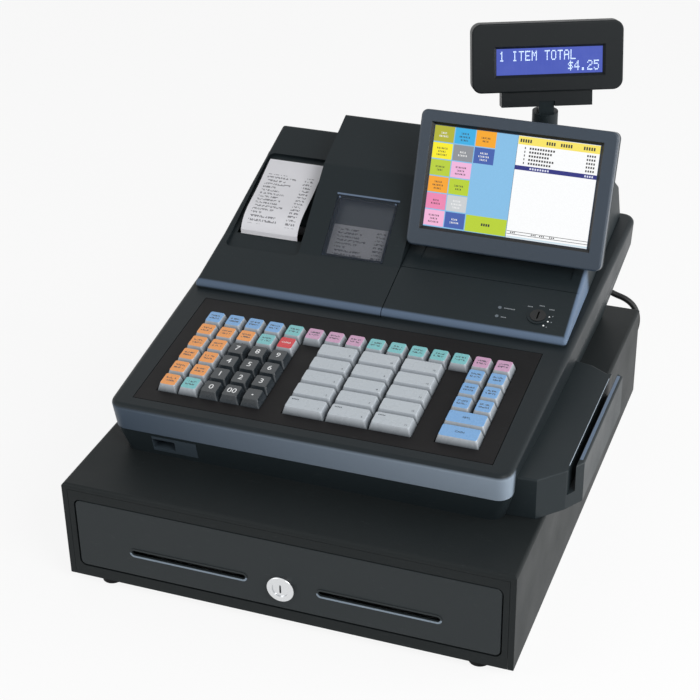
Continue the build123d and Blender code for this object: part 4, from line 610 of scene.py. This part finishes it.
# --- cabinet
class REGISTER_OT_cabinet(bpy.types.Operator):
    """Coated steel, drawer front, till, runners, feet and lock"""

    bl_idname = "register.cabinet"
    bl_label = "Cabinet and drawer"

    def execute(self, context):
        look = context.scene.register.cabinet
        steel, colour = ["cabinet_cover", "front_frame"], linear(look.steel)
        coat(steel, "cabinet_coat", 0.14, colour, look.grain, 0.00012, (0.42, 0.56), 0.09)
        front = Finish("drawer_front_coat", Specular_IOR_Level=0.2)
        tree = front.tree
        _, y, z = node(tree, "ShaderNodeSeparateXYZ", {0: front.place}).outputs
        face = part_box("drawer_front")[0][1]
        # painted highlight: the proud lips under the media slots are painted a light bluish steel,
        # standing in for the light their lower edges catch
        proud = spread(tree, y, face + 0.0005, face + 0.0002)
        below_slots = spread(tree, z, 0.0446, 0.0436)
        painted_lip_highlight = product(tree, proud, below_slots, 0.8)
        paint = blend(tree, painted_lip_highlight, linear(look.front), linear(look.lip))
        front.grained(paint, look.grain * 0.8, 0.0001, (0.36, 0.48), 0.07)
        wear(["drawer_front"], front.material)

        zinc = Finish("zinc_plate", Metallic=1.0)
        tree = zinc.tree
        cells = node(tree, "ShaderNodeTexVoronoi", {"Vector": zinc.place, "Scale": 130.0})
        flake = node(tree, "ShaderNodeSeparateColor", {0: cells.outputs["Color"]}).outputs[0]
        zinc.set("Base Color", zinc.clouded(flake, look.zinc, 0.72))
        zinc.gloss(noise(tree, zinc.place, 0.02, 4), 0.3, 0.48)
        zinc.relief(noise(tree, zinc.place, 0.0006), 0.00003)
        wear(["cabinet_floor", "drawer_runners", "drawer_tray"], zinc.material)

        rubber, till, clip = (linear(c) for c in (look.rubber, look.till, look.clip))
        clips = [f"bill_clip_{n}" for n in range(1, 6)]
        coat(["feet"], "foot_rubber", 0.2, rubber, 0.0008, 0.00008, (0.75, 0.9), 0.01)
        coat(["till_insert"], "till_moulding", 0.4, till, 0.0006, 0.00006, (0.4, 0.55), 0.04, rub=0.4)
        coat(clips, "clip_moulding", 0.45, clip, 0.0005, 0.00004, (0.3, 0.42), 0.02)

        chrome = Finish("lock_chrome", Metallic=1.0)
        tree = chrome.tree
        low, high = (Vector(corner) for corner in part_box("lock_cylinder"))
        inputs = {"Vector": chrome.place, "Location": (low + high) / 2}
        centred = node(tree, "ShaderNodeMapping", inputs, vector_type="TEXTURE").outputs[0]
        x, _, z = node(tree, "ShaderNodeSeparateXYZ", {0: centred}).outputs
        square_x, square_z = (sums(tree, "POWER", part, 2.0) for part in (x, z))
        out = sums(tree, "SQRT", sums(tree, "ADD", square_x, square_z))
        rings = noise(tree, centred, 1 / 900, 2.0, 0.5)
        turned = sums(tree, "SINE", product(tree, out, 21000.0))
        chrome.set("Base Color", chrome.clouded(rings, look.chrome, 0.86))
        chrome.gloss(rings, 0.1, 0.24)
        chrome.relief(turned, 0.000006, 0.3)
        wear(["lock_bezel", "lock_cylinder"], chrome.material)
        return {"FINISHED"}


# --- housing
class REGISTER_OT_housing(bpy.types.Operator):
    """Moulded shell, deck and its band, hoods, reader, pole, bezel and sockets"""

    bl_idname = "register.housing"
    bl_label = "Housing"

    def execute(self, context):
        look = context.scene.register.housing
        shell, plate, head, insert, socket, lamp = (
            linear(c)
            for c in (look.shell, look.plate, look.head, look.insert, look.socket, look.lamp)
        )
        hull = ["base_housing", "screen_back", "pole"]
        works = ["power_inlet", "rocker_switch", "mode_lock_rotor"]
        reader, grain = linear(look.shell, 1.05), look.grain
        satin = (0.35, 0.5)
        coat(hull, "shell_moulding", 0.16, shell, grain, 0.00006, (0.38, 0.5), 0.08)
        coat(["card_reader"], "reader_moulding", 0.2, reader, grain, 0.00006, (0.34, 0.46), 0.05)
        coat(["key_plate"], "plate_moulding", 0.16, plate, grain, 0.00005, (0.45, 0.6), 0.05)
        coat(["head_case"], "head_moulding", 0.16, head, grain, 0.00005, (0.36, 0.48), 0.05)
        coat(["card_slot_insert"], "insert_moulding", 0.4, insert, 0.0005, 0.00005, satin, 0.02)
        coat(works, "socket_moulding", 0.4, socket, 0.0005, 0.00004, satin, 0.02)
        coat(["status_leds"], "lamp_lens", 0.5, lamp, 0.0007, 0.00002, (0.15, 0.25), 0.004)
        coat(["lcd_panel"], "screen_glass", 0.5, GLASS, 0.0003, 0.000004, (0.16, 0.24), 0.05)

        hood = Finish("hood_moulding", Specular_IOR_Level=0.16)
        tree = hood.tree
        x, y, z = node(tree, "ShaderNodeSeparateXYZ", {0: hood.place}).outputs
        # painted highlight: the hoods' rounded front ridges and the front of the right hood's side edge
        # are painted a lighter bluish tone, stronger towards the right, standing in for the light they
        # catch
        over_deck = spread(tree, z, 0.1722, 0.1738)
        front = product(tree, spread(tree, y, 0.0036, 0.0012), over_deck)
        # the right hood's side leans in, so its edge is found after taking the lean away
        upright = sums(tree, "MULTIPLY_ADD", sums(tree, "SUBTRACT", z, 0.1706), 0.1086, x)
        side = product(
            tree, spread(tree, upright, 0.1584, 0.1598), spread(tree, y, 0.088, 0.078), over_deck
        )
        painted_light_to_right = spread(tree, x, -0.19, 0.17, 0.75, 1.0)
        ridge_highlight = product(tree, sums(tree, "MAXIMUM", front, side), painted_light_to_right)
        paint = blend(tree, ridge_highlight, shell, linear(look.ridge_highlight))
        hood.grained(paint, grain, 0.00006, (0.36, 0.48), 0.08)
        wear(["printer_cover", "right_hood"], hood.material)

        deck = Finish("deck_moulding", Specular_IOR_Level=0.16)
        tree = deck.tree
        x, up, height = deck.on_panel(DECK)
        # painted reflection: the front band under the deck is painted a lighter bluish tone, growing
        # lighter towards the right, standing in for the lamps' light on it
        below, before = spread(tree, height, -0.0018, -0.0040), spread(tree, up, 0.004, -0.004)
        painted_light_to_right = spread(tree, x, -0.17, 0.17)
        band_reflection = blend(tree, painted_light_to_right, linear(look.band_reflection), linear(look.band_highlight_right))
        paint = blend(tree, product(tree, below, before), linear(look.deck), band_reflection)
        deck.grained(paint, grain, 0.00005, (0.33, 0.46), 0.07)
        wear(["keyboard_deck"], deck.material)

        bezel = Finish("bezel_paint", Specular_IOR_Level=0.35, Coat_Weight=0.1, Coat_Roughness=0.3)
        tree = bezel.tree
        *flat, height = bezel.on_panel(SCREEN)
        inside = spread(tree, height, -0.0001, -0.0004)
        for value, middle, reach in zip(flat, PAGE_MIDDLE, (0.0797, 0.0494)):
            away = sums(tree, "ABSOLUTE", sums(tree, "SUBTRACT", value, middle))
            inside = product(tree, inside, spread(tree, away, reach, reach - 0.0005))
        paint = blend(tree, inside, linear(look.bezel), linear(look.socket, 0.8))
        wear(["screen_bezel"], bezel.grained(paint, 0.0004, 0.00003, (0.3, 0.4), 0.06, 0.2))
        metal = Finish("inner_metal", Metallic=0.9)
        metal.grained(linear(look.metal), 0.0012, 0.00004, (0.35, 0.5), 0.05)
        wear(["screen_bracket", "printer_frame"], metal.material)
        window = Finish("smoked_window", Specular_IOR_Level=0.5, Alpha=0.34)
        window.grained(SMOKE, 0.0009, 0.000005, (0.05, 0.12), 0.03, 0.2, 0.3)
        wear(["journal_window"], window.material)
        return {"FINISHED"}


# --- key caps
class REGISTER_OT_key_caps(bpy.types.Operator):
    """Silvery skirts, coloured tops and their small print"""

    bl_idname = "register.key_caps"
    bl_label = "Key caps"

    def cap(self, look, name, top, printed=True, skirt=None):
        """A cap's material: top gives the top's colour from the finish and its place on the deck."""
        finish = Finish(name, Specular_IOR_Level=0.5, Coat_Weight=0.3, Coat_Roughness=0.12)
        tree = finish.tree
        x, up, height = finish.on_panel(DECK)
        tint = top(finish, x, up)
        if printed:
            # small print: marks in two short lines in the middle of each cap
            across = sums(tree, "DIVIDE", sums(tree, "SUBTRACT", x, column(0.5)), KEY_PITCH)
            along = sums(tree, "DIVIDE", sums(tree, "SUBTRACT", up, row(KEY_ROWS + 0.5)), KEY_PITCH)
            u, v = sums(tree, "FRACT", across), sums(tree, "FRACT", along)
            marks = specks(tree, product(tree, x, 1500.0), product(tree, up, 1050.0), 0.42)
            lines = sums(tree, "MAXIMUM", near(tree, v, 0.62, 0.055), near(tree, v, 0.43, 0.055))
            ink = product(tree, marks, near(tree, u, 0.5, 0.23), lines, 0.85)
            tint = blend(tree, ink, tint, linear(look.print))
        is_top = spread(tree, height, 0.0061, 0.0063)
        dust = noise(tree, finish.place, 0.006, 4)
        side = finish.clouded(dust, skirt or look.skirt, 0.88)
        shadow = spread(tree, height, -0.0005, 0.0056, 0.85, 0.0)
        side = blend(tree, shadow, side, (0.05, 0.06, 0.07, 1))
        tint = blend(tree, product(tree, dust, 0.05), tint, (0.9, 0.92, 0.95, 1), "SOFT_LIGHT")
        finish.set("Base Color", blend(tree, is_top, side, tint))
        finish.gloss(dust, 0.22, 0.36)
        finish.relief(noise(tree, finish.place, 0.0005), 0.00003)
        return finish.material

    def execute(self, context):
        look = context.scene.register.keys
        blue, orange, teal, pink = (linear(c) for c in (look.blue, look.orange, look.teal, look.pink))

        def back_row(finish, x, up):
            tree = finish.tree
            from_left = sums(tree, "SUBTRACT", x, column(0.5))
            along = sums(tree, "DIVIDE", from_left, KEY_COLUMNS * KEY_PITCH)
            changes = ((0, blue), (4, teal), (5, pink), (8, teal), (13, pink))
            return colour_steps(tree, along, [(key / KEY_COLUMNS, tint) for key, tint in changes])

        def functions(finish, x, up):
            tree = finish.tree
            right = sums(tree, "GREATER_THAN", x, column(3.5))
            second = sums(tree, "GREATER_THAN", x, column(1.5))
            corner = product(tree, second, sums(tree, "LESS_THAN", up, row(5.5)))
            return blend(tree, sums(tree, "MAXIMUM", right, corner), orange, teal)

        def plain(colour):
            return lambda finish, x, up: finish.clouded(
                noise(finish.tree, finish.flat, 0.03), colour, 0.96
            )

        wear(["top_row_keys"], self.cap(look, "top_row_cap", back_row))
        wear(["function_keys"], self.cap(look, "function_cap", functions))
        wear(["payment_keys"], self.cap(look, "payment_cap", plain(look.blue)))
        wear(["subtotal_key", "cash_key"], self.cap(look, "wide_cap", plain(look.blue), printed=False))
        wear(["department_keys"], self.cap(look, "department_cap", plain(look.grey), printed=False))
        wear(["clear_key"], self.cap(look, "clear_cap", plain(look.red), printed=False))
        numbers = [f"key_{n}" for n in ("0", "00", "point", *range(1, 10))]
        wear(numbers, self.cap(look, "number_cap", plain(look.number), False, look.number))
        return {"FINISHED"}


class REGISTER_OT_key_figures(bpy.types.Operator):
    """White figures of the number keys and the words of the wide keys"""

    bl_idname = "register.key_figures"
    bl_label = "Key figures"

    def execute(self, context):
        look = context.scene.register.keys
        white = print_colour("figure_white", linear(look.figure), 0.0006, (0.32, 0.42))
        dark = print_colour("figure_dark", linear(look.print), 0.0006, (0.32, 0.42))
        thick = 0.00008

        def on_cap(across, along):
            return DECK @ Matrix.Translation((across, along + 0.0006, CAP_TOP))

        places = {"7": (3, 3), "8": (4, 3), "9": (5, 3), "4": (3, 4), "5": (4, 4), "6": (5, 4)}
        places.update({"1": (3, 5), "2": (4, 5), "3": (5, 5), "0": (3, 6), "00": (4, 6), ".": (5, 6)})
        for words, (place, line) in places.items():
            mesh = bmesh.new()
            name = "point" if words == "." else words
            if words == ".":
                dot(mesh, on_cap(column(place), row(line)), 0, -0.0008, 0.00085, thick)
            else:
                letters(mesh, words, look.figure_height, on_cap(column(place), row(line)), thick)
            piece(f"figure_{name}", mesh, white, f"b_key_{name}")

        mesh = bmesh.new()
        letters(mesh, "CLEAR", 0.0021, on_cap(column(5), row(2)), thick)
        piece("clear_word", mesh, white, "b_clear_key")
        for name, words, line in (("subtotal", "SBTL", 5), ("cash", "CASH", 6)):
            mesh = bmesh.new()
            letters(mesh, words, 0.0023, on_cap(column(14.5), row(line)), thick)
            piece(f"{name}_word", mesh, dark, f"b_{name}_key")

        mesh = bmesh.new()
        for bank, left in enumerate((7.5, 9.5, 11.5)):
            for line in range(2, 7):
                corner = on_cap(column(left) + 0.0125, row(line) - 0.0036)
                letters(mesh, str(bank * 5 + 7 - line), 0.0019, corner, thick)
            for mark in range(5):
                start = column(left) - 0.0135 + mark * 0.0013
                tile(mesh, on_cap(0, row(6) + 0.003), (start, 0, start + 0.0008, 0.0012), 0.00006)
        piece("department_figures", mesh, dark, "b_department_keys")
        return {"FINISHED"}


# --- paper
class REGISTER_OT_paper(bpy.types.Operator):
    """Receipt, journal strip and the two rolls"""

    bl_idname = "register.paper"
    bl_label = "Receipt and journal"

    def printed(self, look, name, plane, middle, start, end, pitch):
        """Paper with rows of small print between two heights on a panel."""
        half, mark = 0.0285, 0.0009
        finish = Finish(name, Specular_IOR_Level=0.2)
        tree = finish.tree
        x, up, _ = finish.on_panel(plane)
        x = sums(tree, "SUBTRACT", x, middle)
        line = sums(tree, "DIVIDE", up, pitch)
        in_line = sums(tree, "LESS_THAN", sums(tree, "FRACT", line), 0.5)
        across, along = sums(tree, "DIVIDE", x, mark), sums(tree, "DIVIDE", up, pitch / 4)
        marks = specks(tree, across, along, 0.4)
        chance = node(
            tree, "ShaderNodeTexWhiteNoise", {"W": sums(tree, "FLOOR", line)}, noise_dimensions="1D"
        )
        words_end = sums(tree, "MULTIPLY_ADD", chance.outputs["Value"], half * 0.7, -half * 0.45)
        words = between(tree, x, -half * 0.82, words_end)
        price = between(tree, x, half * 0.5, half * 0.82)
        columns = sums(tree, "MAXIMUM", words, price)
        ink = product(tree, marks, in_line, columns, between(tree, up, start, end), 0.7)
        sheet = finish.clouded(noise(tree, finish.place, 0.012, 5), look.paper, 0.94)
        finish.set("Base Color", blend(tree, ink, sheet, linear(look.ink)))
        finish.gloss(noise(tree, finish.place, 0.003), 0.5, 0.62)
        finish.relief(noise(tree, finish.place, 0.0004, 5), 0.00002)
        return finish.material

    def execute(self, context):
        look = context.scene.register.screens
        receipt = self.printed(look, "receipt_print", RECEIPT, -0.1292, 0.006, 0.068, 0.0042)
        wear(["receipt_paper"], receipt)
        journal = self.printed(look, "journal_print", STEEP, -0.0407, 0.004, 0.036, 0.0036)
        wear(["journal_strip"], journal)
        roll = Finish("paper_roll", Specular_IOR_Level=0.2)
        tree = roll.tree
        layers = noise(tree, roll.place, 1 / 2600, 1.0, 0.5)
        roll.set("Base Color", roll.clouded(layers, look.paper, 0.86))
        roll.gloss(layers, 0.6, 0.75)
        roll.relief(layers, 0.00004, 0.5)
        wear(["receipt_roll", "journal_roll"], roll.material)
        return {"FINISHED"}


# --- displays
class REGISTER_OT_touch_page(bpy.types.Operator):
    """Order page of the touch screen"""

    bl_idname = "register.touch_page"
    bl_label = "Touch-screen page"

    def execute(self, context):
        look = context.scene.register.screens
        finish = Finish("page_glow", Specular_IOR_Level=0.5)
        tree = finish.tree
        colour = node(tree, "ShaderNodeAttribute", attribute_name="tone").outputs["Color"]
        pixels = noise(tree, finish.place, 1 / 1400, 1.0, 0.5)
        colour = blend(tree, spread(tree, pixels, 0.3, 0.7, 0.0, 0.06), colour, BLACK)
        finish.set("Base Color", blend(tree, 0.93, colour, BLACK))
        finish.shine(colour, look.glow)
        finish.gloss(noise(tree, finish.place, 0.03, 4), 0.16, 0.26)

        wide, high = PAGE_SIZE
        left, low = PAGE_MIDDLE[0] - wide / 2, PAGE_MIDDLE[1] - high / 2
        corner = SCREEN @ Matrix.Translation((left, low, -0.0024))
        mesh = bmesh.new()

        def area(left, top, right, bottom, tint, level):
            """Coloured area from shares of the page's width and height, top down."""
            box = (left * wide, (1 - bottom) * high, right * wide, (1 - top) * high)
            shade = linear(screen_colour(tint) if isinstance(tint, str) else tint)
            tile(mesh, corner, box, 0.00003, level * 0.00002, shade)

        def word(left, pitch, count, length, top, bottom, tint, level):
            """Row of short marks that stands for a word."""
            for mark in range(count):
                start = left + mark * pitch
                area(start, top, start + length, bottom, tint, level)

        ink, faint, pale_ink = "2a2a2a", "3a3a3a", "e8ecff"
        area(0, 0, 1, 1, "17324c", 0)
        area(0.004, 0.006, 0.51, 0.994, look.sky, 1)
        area(0.512, 0.006, 0.996, 0.994, "fdfeff", 1)
        cells = (
            ("b2b224", "2eaee6", "f9a80e"),
            ("fbee10", "8d9096", "3b5cad"),
            ("b9d02c", "f2b6de"),
            ("f9a51c", "b9d224"),
            ("ee86b2", "ccd0d3"),
            ("f6b6da", "3b5cad"),
        )
        with_pale_words = {"b2b224", "8d9096", "3b5cad", "ccd0d3"}
        step, tall, used = 0.1275, 1 / 6, 0.988
        for line, tones in enumerate(cells):
            for place, code in enumerate(tones):
                left, top = 0.004 + place * step, 0.006 + line * tall * used
                area(left, top, left + step - 0.006, top + tall * used - 0.011, code, 2)
                tint = "f0f0f0" if code in with_pale_words else "202020"
                rows = 2 + (line + place) % 2
                for n in range(rows):
                    middle = top + tall * (0.5 + (n - (rows - 1) / 2) * 0.19)
                    count = 4 + (line * 3 + n * 2 + place) % 4
                    for mark in range(count):
                        at = left + step / 2 - 0.003 + (mark - count / 2) * 0.0095
                        stem = 0.004 if (mark + n + line) % 3 else -0.002
                        area(at, middle - 0.008, at + 0.0048, middle + stem, tint, 3)
                        area(at, middle + 0.004, at + 0.0062, middle + 0.008, tint, 3)
        area(0.259, 0.006 + 5 * tall * used, 0.508, 0.989, "b9d224", 2)
        word(0.355, 0.014, 4, 0.010, 0.895, 0.92, "202020", 3)

        # the order's list: heading, five lines, the chosen line and the totals
        area(0.514, 0.010, 0.996, 0.088, "fbe764", 2)
        for start, count in ((0.525, 5), (0.68, 4), (0.765, 5), (0.90, 5)):
            word(start, 0.0145, count, 0.0095, 0.034, 0.066, ink, 3)
        for line in range(5):
            top = 0.108 + line * 0.036
            bottom = top + 0.020
            area(0.556, top, 0.562, bottom, ink, 2)
            word(0.585, 0.0155, 10 - line % 3, 0.0105, top, bottom, faint, 2)
            word(0.925, 0.014, 4, 0.009, top, bottom, faint, 2)
        area(0.512, 0.290, 0.996, 0.332, "1a1f7c", 2)
        word(0.60, 0.015, 8, 0.009, 0.302, 0.320, pale_ink, 3)
        word(0.925, 0.014, 4, 0.008, 0.302, 0.320, pale_ink, 3)
        for level in (0.925, 0.952):
            area(0.514, level, 0.996, level + 0.005, ink, 2)
        for start in (0.535, 0.66, 0.71, 0.77):
            word(start, 0.011, 3, 0.007, 0.934, 0.946, faint, 2)
        area(0.514, 0.975, 0.996, 0.990, "cfe3ee", 2)
        piece("touch_page", mesh, finish.material, "screen")
        return {"FINISHED"}


# dots of the customer display's figures, seven rows of five from the top
DOTS = {
    "1": "00100 01100 00100 00100 00100 00100 01110",
    "2": "01110 10001 00001 00110 01000 10000 11111",
    "4": "00010 00110 01010 10010 11111 00010 00010",
    "5": "11111 10000 11110 00001 00001 10001 01110",
    "A": "01110 10001 10001 11111 10001 10001 10001",
    "E": "11111 10000 10000 11110 10000 10000 11111",
    "I": "01110 00100 00100 00100 00100 00100 01110",
    "L": "10000 10000 10000 10000 10000 10000 11111",
    "M": "10001 11011 10101 10101 10001 10001 10001",
    "O": "01110 10001 10001 10001 10001 10001 01110",
    "T": "11111 00100 00100 00100 00100 00100 00100",
    "$": "00100 01111 10100 01110 00101 11110 00100",
    ".": "00000 00000 00000 00000 00000 01100 01100",
}


class REGISTER_OT_customer_display(bpy.types.Operator):
    """Blue customer display and its dot figures"""

    bl_idname = "register.customer_display"
    bl_label = "Customer display"

    def execute(self, context):
        look = context.scene.register.screens
        lens = Finish("customer_lens", Specular_IOR_Level=0.5)
        tree = lens.tree
        x = lens.on_panel(HEAD)[0]
        ribs = spread(tree, sums(tree, "SINE", product(tree, x, 5200.0)), -1, 1, 0.0, 0.16)
        glow = blend(tree, ribs, linear(look.lens), linear(look.lens, 1.9))
        cloud = spread(tree, noise(tree, lens.place, 0.02, 3), 0.3, 0.7, 0.0, 0.12)
        glow = blend(tree, cloud, glow, (0.1, 0.16, 0.6, 1))
        lens.set("Base Color", blend(tree, 0.9, glow, BLACK))
        lens.shine(glow, look.glow * 0.9)
        lens.gloss(noise(tree, lens.place, 0.01, 3), 0.14, 0.24)
        wear(["head_lens"], lens.material)

        figures = Finish("customer_figures", Roughness=0.4)
        tree = figures.tree
        shade = figures.clouded(noise(tree, figures.place, 0.004), look.figures, 0.9)
        figures.set("Base Color", shade)
        figures.shine(shade, look.glow * 0.4)
        mesh = bmesh.new()
        pitch, rise, cell = 0.00095, 0.0013, 0.00595
        for words, left, top in (("1 ITEM TOTAL", -0.0442, 0.0060), ("$4.25", 0.0190, -0.0042)):
            for place, sign in enumerate(words):
                for line, bits in enumerate(DOTS.get(sign, "").split()):
                    for spot, bit in enumerate(bits):
                        if bit == "1":
                            x0, y0 = left + place * cell + spot * pitch, top - line * rise
                            box = (x0, y0 - rise * 0.9, x0 + pitch * 0.8, y0)
                            tile(mesh, HEAD, box, 0.00005, -0.00296)
        piece("customer_figures", mesh, figures.material, "display_head")
        return {"FINISHED"}


# --- marks
class REGISTER_OT_marks(bpy.types.Operator):
    """Dots round the mode lock and the marks beside the lamps"""

    bl_idname = "register.marks"
    bl_label = "Lock and lamp marks"

    def execute(self, context):
        look = context.scene.register.keys
        white = print_colour("mark_paint", linear(look.figure), 0.0005, (0.4, 0.5))
        mesh = bmesh.new()
        spots = (
            (137.5, 265.3),
            (143.9, 267.7),
            (150.4, 265.1),
            (153.5, 260.3),
            (153.9, 254.8),
            (151.3, 249.7),
        )
        for x, y in spots:
            dot(mesh, HOOD_FRONT, x * MM, up_slope(HOOD_FRONT, y * MM), 0.00085, 0.00008, MARK_LIFT)
        piece("lock_dots", mesh, white, "register")
        grey = print_colour("mark_grey", linear(look.skirt, 0.5), 0.0005, (0.4, 0.5))
        mesh = bmesh.new()
        by_lamps = ((112.5, 262.3, 8), (112.5, 251.8, 4))
        by_dots = (
            (132.2, 268.6, 4),
            (142.2, 271.3, 4),
            (151.6, 268.7, 4),
            (156.2, 261.3, 1),
            (156.6, 254.6, 1),
            (153.8, 248.4, 1),
        )
        for words, pitch, low in ((by_lamps, 1.25, 0.0006), (by_dots, 1.2, 0.0005)):
            for x, y, count in words:
                up = up_slope(HOOD_FRONT, y * MM)
                for mark in range(count):
                    left = (x + mark * pitch) * MM
                    box = (left, up - low, left + 0.0008, up + 0.0006)
                    tile(mesh, HOOD_FRONT, box, 0.00006, MARK_LIFT)
        piece("panel_marks", mesh, grey, "register")
        return {"FINISHED"}


class REGISTER_OT_trim(bpy.types.Operator):
    """Painted highlights on the card slot's lip and rail top, and the bar and pins of the journal window,
    the bar in a painted highlight colour
    """

    bl_idname = "register.trim"
    bl_label = "Trim"

    def execute(self, context):
        look = context.scene.register.housing
        rail_top = 0.1394
        # painted highlight: a thin bright rod along the card slot's inner rail stands in for the light on
        # its edge
        lip_highlight_finish = Finish("slot_lip", Specular_IOR_Level=0.6, Metallic=0.6)
        lip_highlight_finish.grained(linear(look.lip), 0.0004, 0.00001, (0.2, 0.3), 0.02, 0.1, 0.3)
        lip = bmesh.new()
        turn = Matrix.Rotation(math.radians(90), 4, "X")
        bmesh.ops.create_cone(
            lip,
            cap_ends=True,
            segments=16,
            radius1=0.0004,
            radius2=0.0004,
            depth=0.142,
            matrix=Matrix.Translation((BODY_X + 0.2119, BODY_Y + 0.178, rail_top)) @ turn,
        )
        piece("card_slot_lip", lip, lip_highlight_finish.material, "register")
        # painted highlight: a bluish strip on the outer rail's top stands in for the light on that edge,
        # and the journal window's top bar, a real part of its frame, is given the same painted highlight
        # colour
        satin = Finish("painted_edge_highlight", Specular_IOR_Level=0.4)
        satin.grained(linear(look.ridge_highlight), 0.0004, 0.00002, (0.28, 0.38), 0.02, 0.2, 0.3)
        rail = bmesh.new()
        flat = Matrix.Translation((BODY_X, BODY_Y, rail_top))
        tile(rail, flat, (0.2176, 0.1185, 0.2203, 0.2565), 0.00012)
        soften(rail, 0.00004, 1)
        piece("card_rail_top", rail, satin.material, "register")
        bar = bmesh.new()
        tile(bar, STEEP, (-0.0715, 0.0637, -0.0099, 0.0655), 0.0005)
        soften(bar, 0.0002, 2)
        for across in (-0.0682, -0.0132):
            dot(bar, STEEP, across, 0.0612, 0.0009, 0.0004)
        piece("journal_window_bar", bar, satin.material, "cover")
        return {"FINISHED"}


# --- panel and running
STEPS = (
    "stage",
    "cable",
    "cabinet",
    "housing",
    "key_caps",
    "key_figures",
    "paper",
    "touch_page",
    "customer_display",
    "marks",
    "trim",
)


class REGISTER_PT_panel(bpy.types.Panel):
    """Buttons and settings of the ticket register"""

    bl_idname = "REGISTER_PT_panel"
    bl_label = "Ticket register"
    bl_space_type = "VIEW_3D"
    bl_region_type = "UI"
    bl_category = "Register"

    def draw(self, context):
        settings = context.scene.register
        for step in STEPS:
            self.layout.operator(f"register.{step}")
        for group in (settings.cabinet, settings.housing, settings.keys, settings.screens, settings.stage):
            box = self.layout.box()
            for name in group.bl_rna.properties.keys():
                if name not in ("rna_type", "name"):
                    box.prop(group, name)


CLASSES = (
    CabinetLook,
    HousingLook,
    KeyLook,
    ScreenLook,
    StageLook,
    RegisterSettings,
    REGISTER_OT_stage,
    REGISTER_OT_cable,
    REGISTER_OT_cabinet,
    REGISTER_OT_housing,
    REGISTER_OT_key_caps,
    REGISTER_OT_key_figures,
    REGISTER_OT_paper,
    REGISTER_OT_touch_page,
    REGISTER_OT_customer_display,
    REGISTER_OT_marks,
    REGISTER_OT_trim,
    REGISTER_PT_panel,
)


def register():
    for kind in CLASSES:
        bpy.utils.register_class(kind)
    bpy.types.Scene.register = PointerProperty(type=RegisterSettings)


def unregister():
    del bpy.types.Scene.register
    for kind in reversed(CLASSES):
        bpy.utils.unregister_class(kind)


def main():
    register()
    for step in STEPS:
        getattr(bpy.ops.register, step)()


if __name__ == "__main__":
    main()
